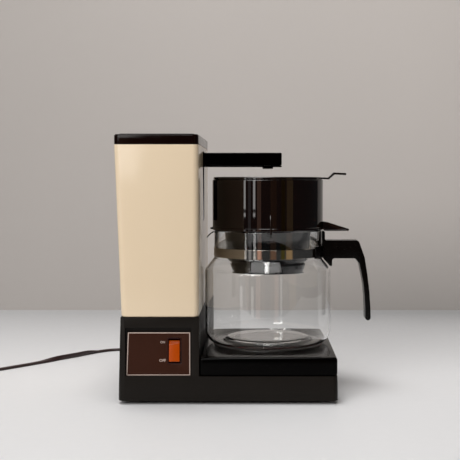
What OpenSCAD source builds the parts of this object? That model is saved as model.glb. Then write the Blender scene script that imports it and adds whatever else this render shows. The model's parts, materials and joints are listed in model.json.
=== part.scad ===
// Drip coffee maker: a tall water tower beside a hotplate, with a glass jug and a filter basket on it.
// Front faces -Y, +Z is up. The origin is on the table under the middle of the machine without its cord.

/* [Machine] */
// Depth of the machine from front to back
body_d = 208; // [190:1:260]
// Height of the rubber feet
foot_h = 4; // [3:0.5:8]
// Height of the low slab under the whole machine
slab_h = 27.5; // [24:0.5:36]
// Height of the block that carries the hotplate
block_h = 21; // [20:0.5:30]
// Height of the console under the tower, above the slab
console_h = 66; // [64:1:85]
// How far each side of the base leans out, per millimetre of height
base_flare = 0.035; // [0:0.005:0.06]
// Wall of the brown and cream mouldings
wall = 2.5; // [2:0.1:3]
// Radius of the upright corners
corner_r = 7; // [5:0.5:10]

/* [Tower] */
// Width of the tower at its foot
tower_w = 86.5; // [82:0.5:110]
// Height of the cream tower shell
tower_h = 191; // [188:1:240]
// How far the left side leans out over the tower's height
tower_lean = 6.8; // [0:0.2:10]
// Height of the cap on the tower
cap_h = 12; // [10:0.5:18]

/* [Jug] */
// Outer radius of the jug's belly
jug_r = 75.6; // [70:0.2:92]
// Gap between the jug and the tower
jug_gap = 1.6; // [1:0.1:6]
// Outer radius of the jug's neck
neck_r = 64.3; // [62:0.1:68]
// Height of the jug from its foot to its rim
jug_h = 136; // [130:1:142]
// Wall of the glass
glass = 2.2; // [1.6:0.1:3]
// Reach of the handle from the jug's axis
handle_reach = 123.5; // [118:0.5:150]
// Width of the handle, front to back
handle_w = 22; // [16:1:30]

/* [Basket] */
// Outer radius of the filter basket
basket_r = 66.9; // [66:0.1:70]
// Height of the basket above the jug's rim
basket_h = 59.5; // [50:0.5:60]
// Wall of the basket
basket_wall = 2.2; // [1.6:0.1:3]

/* [Spout arm] */
// Width of the arm, front to back
arm_w = 28; // [24:1:36]
// Height of the arm
arm_t = 17; // [15:0.5:20]
// Height of the arm's underside above the foot of the tower shell
arm_up = 167; // [166:0.5:170]

/* [Heating] */
// Radius of the hotplate
plate_r = 64.5; // [60:0.5:66]
// Outer radius of the metal water pipes
pipe_r = 4; // [3:0.1:4.2]
// Wall of the silicone hoses
hose_wall = 1.5; // [1:0.1:1.6]
// Radius of the bent heater rod's loop
rod_loop_r = 36; // [32:0.5:38]

/* [Switch] */
// Width of the rocker
rocker_w = 11.8; // [10:0.1:14]
// Height of the rocker
rocker_h = 23.6; // [20:0.1:24]
// Diameter of the rocker's pivot pins
pivot_d = 2.9; // [2:0.1:4]

/* [Cord] */
// Width of the flat two-core lead
lead_w = 6.6; // [5:0.1:8]
// Thickness of the lead
lead_t = 3.4; // [2.4:0.1:4.2]

/* [Hidden] */
$fn = 64;
hull_fn = 32;
eps = 0.01;
big = 400;

// Levels, from the table up
z_base = foot_h;
z_slab = z_base + slab_h;
z_block = z_slab + block_h;
z_console = z_slab + console_h;
z_tower = z_console + tower_h;
z_top = z_tower + cap_h;

// Places across the machine, from the jug's axis
reach_left = jug_r + jug_gap + tower_w + tower_lean;
axis_x = (reach_left - handle_reach) / 2;
tower_right = axis_x - jug_r - jug_gap;
tower_left = tower_right - tower_w;
y_front = -body_d / 2;
y_back = body_d / 2;
base_right = axis_x + jug_r + 2;
console_left = tower_left - 0.4;
bottom_left = console_left - base_flare * (slab_h + console_h);
block_left = tower_right + 0.3;

// Clearances
body_gap = 0.3;
pin_play = 0.05;
slip = 0.2;

// Screws
screw_r = 1.4;
screw_head_r = 3.2;
screw_head_t = 2;
post_r = 4;

// Plumbing
pipe_bore = pipe_r - 1;
hose_r = pipe_r + hose_wall;
pipe_loop_r = rod_loop_r + 2 * pipe_r + 0.1;
plate_z = z_block + 0.7;
plate_t = 1.5;
rod_z = plate_z - plate_t - 0.2 - pipe_r;
run_z = z_slab + 0.5 + pipe_r;
riser_x = tower_right - wall - hose_r - 1.3;
valve_x = axis_x - 109.5;
hose_turn = 8;
hose_grip = 6;
arm_z = z_console + arm_up;
tube_z = arm_z + arm_t / 2;
joint_z = arm_z - 17;

// Rear cover of the tower
back_d = 6;
seam_y = y_back - back_d;
post_l = 10;

// Tank
tank_wall = 2;
tank_corner = 6;
tank_right = riser_x - pipe_r - 2;
tank_left = tower_left + 3.8;
tank_front = y_front + 6;
tank_back = seam_y - post_l - 0.5;
tank_top = z_tower - 4.5;

// Control panel
panel_left = tower_left + 4.6;
panel_right = tower_right - 8.5;
panel_top = z_slab + 54.5;
panel_deep = 5.5;
plate_top = z_slab + 48.8;
plate_left = tower_left + 7.4;
plate_right = tower_right - 9.9;
plate_slant = 2;
rocker_x = tower_right - 27.5;
rocker_z = z_slab + 28;
pivot_y = y_front + 10;
switch_w = rocker_w + 3.6;
switch_wall = 1.1;
switch_h = rocker_h + 5.8;
switch_d = 24;

// Jug
foot_z = plate_z + body_gap;
rim_z = foot_z + jug_h;
band_z = foot_z + 104.5;
band_h = 11;
band_t = 0.6;

// Basket
basket_z = rim_z + body_gap;
basket_top = basket_z + basket_h;
funnel_top_r = 54;
funnel_low_r = 49;
skirt_r = 45.5;

// Cord: a route chosen by hand, then a coil of two layers
exit_x = -112;
exit_z = 16;
boot_l = 35;
boot_end = y_back + 2.5 + boot_l;
cord_points = [[-112, boot_end, 16], [-112, 158, 14.5], [-113, 178, 9], [-117, 200, 3.4],
    [-125, 221, 1.8], [-140, 236, 1.8], [-160, 243, 1.8], [-182, 244, 1.8], [-203, 238, 1.8],
    [-218, 225, 1.8], [-230, 208, 1.8], [-245, 187, 1.8], [-265, 163, 1.8], [-290, 133, 1.8],
    [-315, 104, 1.8], [-340, 76, 1.8], [-359, 55, 1.8]];
coil_x = -391;
coil_y = 84;
coil_in = 29;
coil_out = 47;
coil_h = 7;
tail_points = [[-434.7, 84, 5.2], [-434.7, 95, 5.2], [-433.6, 107, 5.4], [-431.4, 119, 6],
    [-429.6, 130, 6.4], [-429, 140, 6.5]];
plug_l = 30;
plug_w = 21;
plug_t = 13;

// ---------- shared shapes ----------

// A plate with round corners
module rounded_plate(x0, y0, x1, y1, r, h) {
    linear_extrude(h) {
        translate([x0 + r, y0]) square([x1 - x0 - 2 * r, y1 - y0]);
        translate([x0, y0 + r]) square([x1 - x0, y1 - y0 - 2 * r]);
        for (x = [x0 + r, x1 - r], y = [y0 + r, y1 - r]) translate([x, y]) circle(r);
    }
}

// Left side of the tower at a height
function left_at(z) = tower_left - tower_lean * (z - z_console) / tower_h;

// The tower as a solid, pulled in all round by an inset
module tower_form(inset, z0, z1) {
    r = corner_r - inset;
    hull() for (z = [z0, z1 - eps], y = [y_front + corner_r, y_back - corner_r],
                x = [left_at(z) + corner_r, tower_right - corner_r])
        translate([x, y, z]) cylinder(r = r, h = eps, $fn = hull_fn);
}

// The base as a solid: the slab with the console on its left, pulled in all round by an inset
module base_form(inset, z0) {
    lean = base_flare * (z0 - z_base);
    slab_lean = base_flare * slab_h;
    intersection() {
        translate([0, y_back - inset, 0]) rotate([90, 0, 0]) linear_extrude(body_d - 2 * inset)
            polygon([[bottom_left + lean + inset, z0], [base_right - lean - inset, z0],
                [base_right - slab_lean - inset, z_slab - inset],
                [tower_right - inset, z_slab - inset], [tower_right - inset, z_console - inset],
                [console_left + inset, z_console - inset]]);
        translate([0, 0, z0 - 1]) rounded_plate(bottom_left + inset, y_front + inset,
            base_right - inset, y_back - inset, corner_r - inset / 2, big);
    }
}

function unit(v) = v / norm(v);

// One straight length of round bar from point a to point b
module bar(a, b, r) {
    d = b - a;
    l = norm(d);
    turn = atan2(d.y, d.x);
    tilt = acos(d.z / l);
    translate(a) rotate([0, tilt, turn]) cylinder(r = r, h = l);
}

// A bend of a quarter circle that leaves direction u and ends in direction v, round corner p
module quarter_bend(p, u, v, turn_r, r) {
    w = cross(u, v);
    c = p - u * turn_r + v * turn_r;
    multmatrix([[u.x, v.x, w.x, c.x], [u.y, v.y, w.y, c.y], [u.z, v.z, w.z, c.z], [0, 0, 0, 1]])
        rotate([0, 0, -90]) rotate_extrude(angle = 90) translate([turn_r, 0]) circle(r);
}

// A round bar along points whose legs are square to each other
module bent_bar(p, turn_r, r, more = 0) {
    n = len(p) - 1;
    for (i = [0 : n - 1]) {
        u = unit(p[i + 1] - p[i]);
        a = i == 0 ? p[i] - u * more : p[i] + u * turn_r;
        b = i == n - 1 ? p[i + 1] + u * more : p[i + 1] - u * turn_r;
        bar(a, b, r);
        if (i < n - 1) quarter_bend(p[i + 1], u, unit(p[i + 2] - p[i + 1]), turn_r, r);
    }
}

// A hollow pipe along such points
module bent_pipe(p, turn_r, r, bore) {
    difference() {
        bent_bar(p, turn_r, r);
        bent_bar(p, turn_r, bore, 1);
    }
}

// A screw that points up, with its head's underside at the given place
module screw_up(x, y, z, l) {
    translate([x, y, z - screw_head_t]) cylinder(r = screw_head_r, h = screw_head_t);
    translate([x, y, z - eps]) cylinder(r = screw_r - pin_play, h = l);
}

// ---------- base ----------

cover_posts = [[bottom_left + 15, y_front + 16], [bottom_left + 15, y_back - 14], [-25, y_front + 12],
    [-25, y_back - 12], [base_right - 11, y_front + 12], [base_right - 11, y_back - 12]];
surround_posts = [[axis_x - 62, y_front + 14], [axis_x - 62, y_back - 14],
    [axis_x + 52, y_front + 14], [axis_x + 52, y_back - 14]];
feet = [[bottom_left + 24, y_front + 22], [bottom_left + 24, y_back - 22],
    [base_right - 21.5, y_front + 22], [base_right - 21.5, y_back - 22]];
foot_r = 7;
stem_r = 3;
cover_t = 2.5;
post_top = z_slab - wall;
switch_way = 20;
pipe_way = 8;
outlet_seal_r = hose_r + 3.5;
boot_neck_r = 7;
cover_screw_l = 12;

// Housing of the base: slab, console, panel recess, deck under the tower and screw posts
module base_housing() color([0.12, 0.10, 0.09]) difference() {
    union() {
        difference() {
            base_form(0, z_base);
            base_form(wall, z_base - 1);
        }
        // Thick wall behind the panel recess
        translate([panel_left - wall, y_front + wall, z_slab - wall])
            cube([panel_right - panel_left + 2 * wall, panel_deep, panel_top - z_slab + 2 * wall]);
        for (i = [0 : len(cover_posts) - 1]) {
            top = i < 2 ? z_console - wall : post_top;
            translate([cover_posts[i].x, cover_posts[i].y, z_base + cover_t])
                cylinder(r = post_r, h = top - z_base - cover_t + eps);
        }
    }
    // Recess of the control plate
    translate([panel_left, y_front - 1, z_slab + 0.2])
        cube([panel_right - panel_left, panel_deep + 1, panel_top - z_slab - 0.2]);
    // Window for the switch
    translate([rocker_x - switch_w / 2 - slip, y_front, rocker_z - switch_h / 2 - slip])
        cube([switch_w + 2 * slip, switch_way, switch_h + 2 * slip]);
    // Screw holes
    for (p = cover_posts) translate([p.x, p.y, 0]) cylinder(r = screw_r, h = z_base + cover_t + 14);
    for (p = surround_posts)
        translate([p.x, p.y, z_slab - wall - 1]) cylinder(r = screw_r + 0.4, h = wall + 2);
    // Opening below the hotplate, and the way for the pipes into the console
    translate([axis_x, 0, z_slab - wall - 1]) cylinder(r = plate_r - 4, h = wall + 2);
    translate([tower_right - wall - 1, -pipe_loop_r - pipe_way - 3, z_slab])
        cube([wall + 2, 2 * (pipe_loop_r + pipe_way + 3), run_z + pipe_r + pipe_way - z_slab]);
    // Holes in the deck for the tank's outlet and the riser pipe
    translate([valve_x, pipe_loop_r, z_console - wall - 1]) cylinder(r = outlet_seal_r, h = wall + 2);
    translate([riser_x, 0, z_console - wall - 1]) cylinder(r = hose_r + 0.6, h = wall + 2);
    // Hole for the strain relief
    translate([exit_x, y_back - 8, exit_z]) rotate([-90, 0, 0]) cylinder(r = boot_neck_r, h = 12);
}

vent_count = 6;
vent_pitch = 9;
vent_w = 3;
vent_l = 70;

// Plate that closes the base from below
module bottom_cover() color([0.13, 0.11, 0.10]) difference() {
    lean = base_flare * cover_t + wall + slip;
    translate([0, 0, z_base]) rounded_plate(bottom_left + lean, y_front + wall + slip,
        base_right - lean, y_back - wall - slip, corner_r - wall / 2, cover_t);
    for (p = cover_posts) translate([p.x, p.y, z_base - 1]) cylinder(r = screw_r + 0.4, h = cover_t + 2);
    for (p = cover_posts) translate([p.x, p.y, z_base - 1]) cylinder(r = screw_head_r + 0.3, h = 1.5);
    for (p = feet) translate([p.x, p.y, z_base - 1]) cylinder(r = stem_r, h = cover_t + 2);
    for (i = [0 : vent_count - 1]) {
        y = (i - (vent_count - 1) / 2) * vent_pitch;
        translate([axis_x - vent_l / 2, y - vent_w / 2, z_base - 1]) cube([vent_l, vent_w, cover_t + 2]);
    }
}

// Four rubber feet with stems through the cover
module rubber_feet() color([0.05, 0.05, 0.05]) for (p = feet) translate([p.x, p.y, 0]) rotate_extrude()
    polygon([[0, 0], [foot_r - 1, 0], [foot_r, 1], [foot_r, z_base], [stem_r, z_base],
        [stem_r, z_base + cover_t + 2], [0, z_base + cover_t + 2]]);

// Screws of the bottom cover, their heads sunk in it
module cover_screws() color("silver") for (p = cover_posts) {
    translate([p.x, p.y, z_base - 0.6]) cylinder(r = screw_head_r, h = 1.1);
    translate([p.x, p.y, z_base]) cylinder(r = screw_r - pin_play, h = cover_screw_l);
}

// Screws that hold the hotplate surround from below
module surround_screws() color("silver")
    for (p = surround_posts) screw_up(p.x, p.y, z_slab - wall, cover_screw_l);

ledge_r = plate_r - 4;
ledge_z = z_block - 8;
ledge_t = 2;
block_corner = 4;
block_ease = 1.5;

// Block round the hotplate, open below and on the side of the console
module hotplate_surround() color([0.03, 0.02, 0.02]) difference() {
    lean = base_flare * slab_h;
    right = base_right - lean;
    union() {
        difference() {
            union() {
                translate([0, 0, z_slab])
                    rounded_plate(block_left, y_front, right, y_back, block_corner, block_h - block_ease);
                translate([0, 0, z_block - block_ease - eps]) rounded_plate(block_left + 1, y_front + 1,
                    right - 1, y_back - 1, block_corner - 1, block_ease + eps);
            }
            translate([block_left - 1, y_front + wall, z_slab - 1])
                cube([right - block_left + 1 - wall, body_d - 2 * wall, block_h + 1 - wall]);
        }
        translate([axis_x, 0, ledge_z]) cylinder(r = plate_r + 3, h = z_block - wall - ledge_z + eps);
        for (p = surround_posts)
            translate([p.x, p.y, z_slab]) cylinder(r = post_r, h = block_h - wall + eps);
    }
    translate([axis_x, 0, ledge_z - 1]) cylinder(r = ledge_r, h = block_h);
    translate([axis_x, 0, ledge_z + ledge_t]) cylinder(r = plate_r + 1, h = block_h);
    for (p = surround_posts) translate([p.x, p.y, z_slab - 1]) cylinder(r = screw_r, h = 15);
}

// ---------- heating ----------

skirt_z = ledge_z + 2.8;

// Steel plate that keeps the jug warm
module hotplate() color([0.3, 0.3, 0.3]) translate([axis_x, 0, 0]) rotate_extrude()
    polygon([[0, plate_z - plate_t], [plate_r - 1.5, plate_z - plate_t], [plate_r - 1.5, skirt_z],
        [plate_r, skirt_z], [plate_r, plate_z - 0.6], [plate_r - 0.6, plate_z], [0, plate_z]]);

// Silicone seal under the hotplate's edge
module hotplate_seal() color([0.6, 0.1, 0.08]) translate([axis_x, 0, 0]) rotate_extrude()
    polygon([[ledge_r + 0.5, ledge_z + ledge_t], [plate_r + 0.95, ledge_z + ledge_t],
        [plate_r + 0.95, z_block - 0.2], [plate_r + 0.05, z_block - 0.2],
        [plate_r + 0.05, skirt_z], [ledge_r + 0.5, skirt_z]]);

rod_leg = 20;
pin_l = 10;
pin_r = 1.5;
pipe_leg = 28;

// A half ring with two legs towards the tower
module loop(r, loop_r, leg) {
    translate([axis_x, 0, rod_z]) {
        rotate([0, 0, -90]) rotate_extrude(angle = 180) translate([loop_r, 0]) circle(r);
        for (s = [-1, 1])
            translate([-leg, s * loop_r, 0]) rotate([0, 90, 0]) cylinder(r = r, h = leg);
    }
}

// Heater rod bent in a U, with its terminal pins
module heating_element() color([0.75, 0.75, 0.75]) {
    loop(pipe_r, rod_loop_r, rod_leg);
    for (s = [-1, 1]) translate([axis_x - rod_leg - pin_l, s * rod_loop_r, rod_z]) rotate([0, 90, 0])
        cylinder(r = pin_r, h = pin_l + 1);
}

// Points of one end of the water tube, from the loop down to the hose
function tube_end(s) = let (y = s * pipe_loop_r, x = axis_x - pipe_leg)
    [[x + 8, y, rod_z], [x - 8, y, rod_z], [x - 8, y, run_z], [hose_start, y, run_z]];
hose_start = tower_right - 12;
tube_turn = (rod_z - run_z) / 2 - 0.05;

// Aluminium water tube beside the rod
module water_tube() color([0.8, 0.8, 0.8]) difference() {
    union() {
        loop(pipe_r, pipe_loop_r, pipe_leg);
        for (s = [-1, 1]) bent_bar(tube_end(s), tube_turn, pipe_r);
    }
    loop(pipe_bore, pipe_loop_r, pipe_leg);
    for (s = [-1, 1]) bent_bar(tube_end(s), tube_turn, pipe_bore, 1);
}

bar_w = 14;
bar_t = 1.5;
bar_l = 2 * (pipe_loop_r + pipe_r);
bar_z = rod_z - pipe_r - 0.1 - bar_t;
stud_r = 2.5;
stud_drop = 8;
nut_t = 4;
nut_r = 4.6;

// Bar that presses rod and tube to the plate, with its stud
module clamp_bar() color([0.7, 0.7, 0.72]) {
    low = rod_z - pipe_r - stud_drop;
    translate([axis_x - bar_w / 2, -bar_l / 2, bar_z]) cube([bar_w, bar_l, bar_t]);
    translate([axis_x, 0, bar_z - 0.1]) cylinder(r = 2 * stud_r, h = bar_t + 4);
    translate([axis_x, 0, low]) cylinder(r = stud_r, h = plate_z - plate_t - low);
}

// Nut on the stud
module clamp_nut() color("silver") translate([axis_x, 0, bar_z - 0.1 - nut_t]) difference() {
    cylinder(r = nut_r, h = nut_t, $fn = 6);
    translate([0, 0, -1]) cylinder(r = stud_r, h = nut_t + 2);
}

// Flat blade of a push-on contact: thickness and width
blade_t = 0.8;
blade_w = 6.3;
stat_h = 9;
stat_r = 8;
fuse_r = 2;
fuse_l = 11;

// Disc thermostat under the plate
module thermostat() color([0.2, 0.2, 0.2]) translate([axis_x + 18, 0, plate_z - plate_t - stat_h]) {
    cylinder(r = stat_r, h = stat_h);
    for (s = [-1, 1]) translate([-blade_t / 2, s * 4 - blade_w / 2, -6]) cube([blade_t, blade_w, 6 + eps]);
}

// Thermal fuse beside the thermostat, with a lead at each end
module thermal_fuse() color([0.85, 0.8, 0.6])
    translate([axis_x - 22, 0, plate_z - plate_t - fuse_r - 0.1]) rotate([0, 90, 0]) {
        cylinder(r = fuse_r, h = fuse_l);
        translate([0, 0, -6]) cylinder(r = 0.6, h = fuse_l + 12);
    }

// ---------- plumbing ----------

valve_z = z_slab + 34.5;
valve_h = 16;
valve_r = 8;
chamber_r = 5.5;
ball_r = 3.8;
seat_r = 2;
upper_seat_r = 3;
ball_z = valve_z + 2 + sqrt(ball_r * ball_r - seat_r * seat_r) + body_gap;

// Hose from the valve to the water tube
module inlet_hose() color([0.85, 0.83, 0.78])
    bent_pipe([[valve_x, pipe_loop_r, valve_z], [valve_x, pipe_loop_r, run_z],
        [hose_start + hose_grip, pipe_loop_r, run_z]], hose_turn, hose_r, pipe_r);

// Valve that keeps the water from going back to the tank
module check_valve_body() color([0.9, 0.9, 0.88]) translate([valve_x, pipe_loop_r, 0]) difference() {
    union() {
        translate([0, 0, valve_z]) cylinder(r = valve_r, h = valve_h);
        translate([0, 0, valve_z - 7]) cylinder(r = pipe_r, h = valve_h + 13);
    }
    translate([0, 0, valve_z - 8]) cylinder(r = seat_r, h = 12);
    translate([0, 0, valve_z + 2]) cylinder(r = chamber_r, h = valve_h - 5);
    translate([0, 0, valve_z + valve_h - 4]) cylinder(r = upper_seat_r, h = 12);
}

// Ball of the valve
module check_ball() color([0.2, 0.2, 0.2]) translate([valve_x, pipe_loop_r, ball_z]) sphere(ball_r);

tank_spigot = 9;

// Short hose from the tank to the valve
module tank_hose() color([0.85, 0.83, 0.78])
    translate([valve_x, pipe_loop_r, valve_z + valve_h]) difference() {
        cylinder(r = hose_r, h = z_console - wall - 0.6 - valve_z - valve_h);
        translate([0, 0, -1]) cylinder(r = pipe_r, h = big);
    }

// Hose from the water tube to the riser
module outlet_hose() color([0.85, 0.83, 0.78]) bent_pipe([[hose_start + hose_grip, -pipe_loop_r, run_z],
    [riser_x - 17, -pipe_loop_r, run_z], [riser_x - 17, 0, run_z], [riser_x, 0, run_z],
    [riser_x, 0, run_z + 30]], hose_turn, hose_r, pipe_r);

// Pipe that carries the hot water up the tower
module riser_pipe() color([0.8, 0.8, 0.8]) translate([riser_x, 0, run_z + 18]) difference() {
    cylinder(r = pipe_r, h = joint_z - run_z - 18);
    translate([0, 0, -1]) cylinder(r = pipe_bore, h = big);
}

sleeve_l = 14;

// Sleeve that joins riser and arm tube
module pipe_sleeve() color([0.85, 0.83, 0.78]) translate([riser_x, 0, joint_z - sleeve_l / 2]) difference() {
    cylinder(r = hose_r, h = sleeve_l);
    translate([0, 0, -1]) cylinder(r = pipe_r, h = sleeve_l + 2);
}

// Tube through the arm, down to the nozzle
module arm_tube() color([0.8, 0.8, 0.78]) bent_pipe([[riser_x, 0, joint_z], [riser_x, 0, tube_z],
    [axis_x, 0, tube_z], [axis_x, 0, arm_z + 0.2]], pipe_r + 0.2, pipe_r, pipe_bore);

// Open tank in the tower
module water_tank() color([0.92, 0.92, 0.88]) difference() {
    t = tank_wall;
    union() {
        translate([0, 0, z_console])
            rounded_plate(tank_left, tank_front, tank_right, tank_back, tank_corner, tank_top - z_console);
        translate([valve_x, pipe_loop_r, z_console - tank_spigot]) cylinder(r = pipe_r, h = tank_spigot + 1);
    }
    translate([0, 0, z_console + t])
        rounded_plate(tank_left + t, tank_front + t, tank_right - t, tank_back - t, tank_corner - t, tower_h);
    translate([valve_x, pipe_loop_r, z_console - tank_spigot - 1])
        cylinder(r = pipe_bore, h = tank_spigot + 10);
}

// Seal round the tank's outlet in the deck
module tank_grommet() color([0.15, 0.15, 0.15]) translate([valve_x, pipe_loop_r, z_console - wall])
difference() {
    cylinder(r = outlet_seal_r, h = wall);
    translate([0, 0, -1]) cylinder(r = pipe_r, h = wall + 2);
}

// ---------- tower ----------

slot_low = arm_z - 64;
slot_deep = 1.9;
tongue_in = 2;
post_in = wall + post_r - 0.5;
rear_posts = [for (z = [z_console + 14, z_tower - 26], side = [0, 1])
    [side == 0 ? left_at(z) + post_in : tower_right - post_in, z]];

// Upright posts in the tower walls, from one depth to another
module rear_rods(r, y0, y1) {
    for (p = rear_posts)
        translate([p.x, y0, p.y]) rotate([-90, 0, 0]) cylinder(r = r, h = y1 - y0);
}

// All the room behind the seam of the rear cover
module behind_seam() translate([-big, seam_y, 0]) cube([2 * big, back_d + wall, big]);

// Tongue that holds the arm in the tower's wall, between two places; play all round
module tongue(x0, x1, play) {
    in = tongue_in + play;
    translate([x0, -arm_w / 2 + in, arm_z + in]) cube([x1 - x0, arm_w - 2 * in, arm_t - 2 * in]);
}

// Cream shell of the tower, open at the back and on top
module tower_shell() color([0.88, 0.80, 0.68]) difference() {
    union() {
        difference() {
            tower_form(0, z_console, z_tower);
            tower_form(wall, z_console - 1, z_tower + 1);
        }
        rear_rods(post_r, seam_y - post_l, seam_y);
    }
    behind_seam();
    // Window of the arm's tongue and slot of its root plate
    tongue(tower_right - wall - 1, tower_right + 1, 0);
    translate([tower_right - slot_deep, -arm_w / 2, slot_low]) cube([slot_deep + 1, arm_w, arm_z - slot_low]);
    rear_rods(screw_r, seam_y - post_l + 1, y_back);
}

// Cover that closes the tower at the back, with the posts its screws pass through
module rear_cover() color([0.12, 0.10, 0.09]) difference() {
    intersection() {
        tower_form(0, z_console, z_tower);
        union() {
            difference() {
                behind_seam();
                intersection() {
                    tower_form(wall, z_console + wall, z_tower + 1);
                    translate([-big, y_front, 0]) cube([2 * big, body_d - wall, big]);
                }
            }
            rear_rods(post_r, seam_y, y_back);
        }
    }
    rear_rods(screw_r + 0.4, seam_y - 1, y_back);
    rear_rods(screw_head_r + 0.3, y_back - screw_head_t - slip, y_back + 1);
}

// Screws of the rear cover, their heads sunk in it
module rear_screws() color("silver") {
    rear_rods(screw_r - pin_play, seam_y - post_l + 2, y_back - screw_head_t);
    rear_rods(screw_head_r, y_back - screw_head_t - slip, y_back - slip);
}

// Plate at the root of the arm: a shallow trough that runs out downwards
module arm_root_plate() color([0.05, 0.04, 0.03]) difference() {
    x0 = tower_right - slot_deep;
    fit = 0.05;
    rim = 0.95;
    translate([x0 + fit, -arm_w / 2 + fit, slot_low + fit])
        cube([slot_deep - 2 * fit, arm_w - 2 * fit, arm_z - slot_low - 2 * fit]);
    translate([0, arm_w / 2 - rim, 0]) rotate([90, 0, 0]) linear_extrude(arm_w - 2 * rim)
        polygon([[tower_right - 0.1, slot_low + 2], [tower_right + 1, slot_low + 2],
            [tower_right + 1, arm_z + 1], [x0 + 0.5, arm_z + 1]]);
}

arm_end = axis_x + 16.5;
arm_wall = 2;
arm_corner = 3;
arm_ease = 1.5;
collar_t = 1.6;
collar_rise = 1.3;

// Hollow arm over the basket, with the tongue that holds it in the tower
module spout_arm() color([0.04, 0.03, 0.03]) difference() {
    start = tower_right - arm_corner;
    half = arm_w / 2;
    union() {
        translate([0, 0, arm_z + arm_wall])
            rounded_plate(start, -half, arm_end, half, arm_corner, arm_t - arm_wall - arm_ease);
        translate([0, 0, arm_z + arm_t - arm_ease - eps])
            rounded_plate(start, -half + 1, arm_end - 1, half - 1, arm_corner - 0.5, arm_ease);
        tongue(tower_right - wall - 2, tower_right + 2, slip);
        // Collar against the tower's wall
        translate([tower_right, -arm_w / 2 - 1, arm_z]) cube([collar_t, arm_w + 2, arm_t + collar_rise]);
    }
    // Trim to the tower's wall, but for the tongue
    difference() {
        translate([tower_right - 20, -arm_w, arm_z - 1]) cube([20, 2 * arm_w, arm_t + 2]);
        tongue(tower_right - 21, tower_right + 1, slip);
    }
    translate([tower_right + 2, -arm_w / 2 + arm_wall, arm_z - 1])
        cube([arm_end - tower_right - 2 - arm_wall, arm_w - 2 * arm_wall, arm_t + 1 - arm_wall]);
    translate([tower_right - 10, 0, tube_z]) rotate([0, 90, 0]) cylinder(r = pipe_r + slip, h = 20);
}

nozzle_r = 6.6;
nozzle_drop = 2;
nozzle_seat = 1.5;

// Plate under the arm
module arm_cover() color([0.05, 0.04, 0.03]) difference() {
    translate([0, 0, arm_z]) intersection() {
        rounded_plate(tower_right - 5, -arm_w / 2, arm_end, arm_w / 2, arm_corner, arm_wall);
        translate([tower_right + collar_t, -arm_w, -1]) cube([big, 2 * arm_w, 10]);
    }
    translate([axis_x, 0, arm_z - 1]) cylinder(r = nozzle_r - nozzle_seat, h = arm_wall + 2);
}

// Nub that lets the water drip into the basket
module outlet_nozzle() color([0.05, 0.04, 0.03]) translate([axis_x, 0, 0]) rotate_extrude()
    polygon([[pipe_bore, arm_z - nozzle_drop], [nozzle_r - 0.5, arm_z - nozzle_drop],
        [nozzle_r, arm_z - nozzle_drop + 0.5], [nozzle_r, arm_z], [nozzle_r - nozzle_seat, arm_z],
        [nozzle_r - nozzle_seat, arm_z + arm_wall], [pipe_r, arm_z + arm_wall],
        [pipe_r, arm_z + 0.2], [pipe_bore, arm_z + 0.2]]);

lid_rise = 0.8;
lid_border = 5.5;
lid_ease = 0.8;
skirt_play = 0.5;
skirt_h = 8;
skirt_t = 1.6;

// A plate over the tower's plan, pulled in by an inset and moved up to z
module cap_layer(left, inset, z, r, h) translate([0, 0, z])
    rounded_plate(left + inset, y_front + inset, tower_right - inset, y_back - inset, r, h);

// Cap of the tower, with a skirt that sits in the shell's mouth
module tower_lid() color([0.10, 0.07, 0.06]) {
    z0 = z_tower + body_gap;
    z1 = z_top - lid_rise;
    left = left_at(z_tower);
    skirt_in = wall + skirt_play;
    skirt_left = left_at(z_tower - skirt_h);
    difference() {
        union() {
            cap_layer(left, 0, z0, corner_r, z1 - z0 - 1);
            cap_layer(left, lid_ease, z1 - 1 - eps, corner_r - lid_ease, 1 + eps);
            cap_layer(left, lid_border, z1 - eps, corner_r - 2, lid_rise + eps);
        }
        cap_layer(left, wall, z0 - 1, corner_r - wall, cap_h - wall - lid_rise);
    }
    difference() {
        cap_layer(skirt_left, skirt_in, z_tower - skirt_h, corner_r - wall, skirt_h + cap_h - wall - lid_rise);
        cap_layer(skirt_left, skirt_in + skirt_t, z_tower - skirt_h - 1, corner_r - wall - skirt_t, 40);
    }
}

// ---------- control panel ----------

sheet_t = 2;
plate_y = y_front + panel_deep - sheet_t;
plate_low = z_slab + 0.5;
border_w = 1.1;
border_t = 0.4;

// Outline of the control plate, pulled in by an inset
module plate_outline(inset) {
    polygon([[plate_left - plate_slant + inset, plate_low + inset], [plate_right - inset, plate_low + inset],
        [plate_right - inset, plate_top - inset], [plate_left + inset, plate_top - inset]]);
}

// A panel shape that stands upright, with its face at y
module upright(y, t) {
    translate([0, y + t, 0]) rotate([90, 0, 0]) linear_extrude(t) children();
}

// Outline of the switch, grown all round
module switch_hole(grow) {
    translate([rocker_x - switch_w / 2 - grow, rocker_z - switch_h / 2 - grow])
        square([switch_w + 2 * grow, switch_h + 2 * grow]);
}

// Reddish brown plate with the switch in it
module control_plate() color([0.22, 0.12, 0.08]) upright(plate_y, sheet_t) difference() {
    plate_outline(0);
    switch_hole(0.1);
}

// Pale line round the plate
module plate_border() color([0.75, 0.68, 0.64]) upright(plate_y - border_t, border_t) difference() {
    plate_outline(0);
    plate_outline(border_w);
}

pocket_d = 16;
contact_l = 8;
lamp_r = 2.1;
lamp_l = 8;

// Body of the rocker switch, open in front
module switch_body() color([0.10, 0.04, 0.03]) translate([rocker_x, plate_y, rocker_z]) difference() {
    translate([-switch_w / 2, 0, -switch_h / 2]) cube([switch_w, switch_d, switch_h]);
    translate([-switch_w / 2 + switch_wall, -1, -switch_h / 2 + switch_wall])
        cube([switch_w - 2 * switch_wall, pocket_d + 1, switch_h - 2 * switch_wall]);
    translate([-switch_w, pivot_y - plate_y, 0]) rotate([0, 90, 0])
        cylinder(d = pivot_d + 2 * pin_play, h = 2 * switch_w);
}

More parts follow.
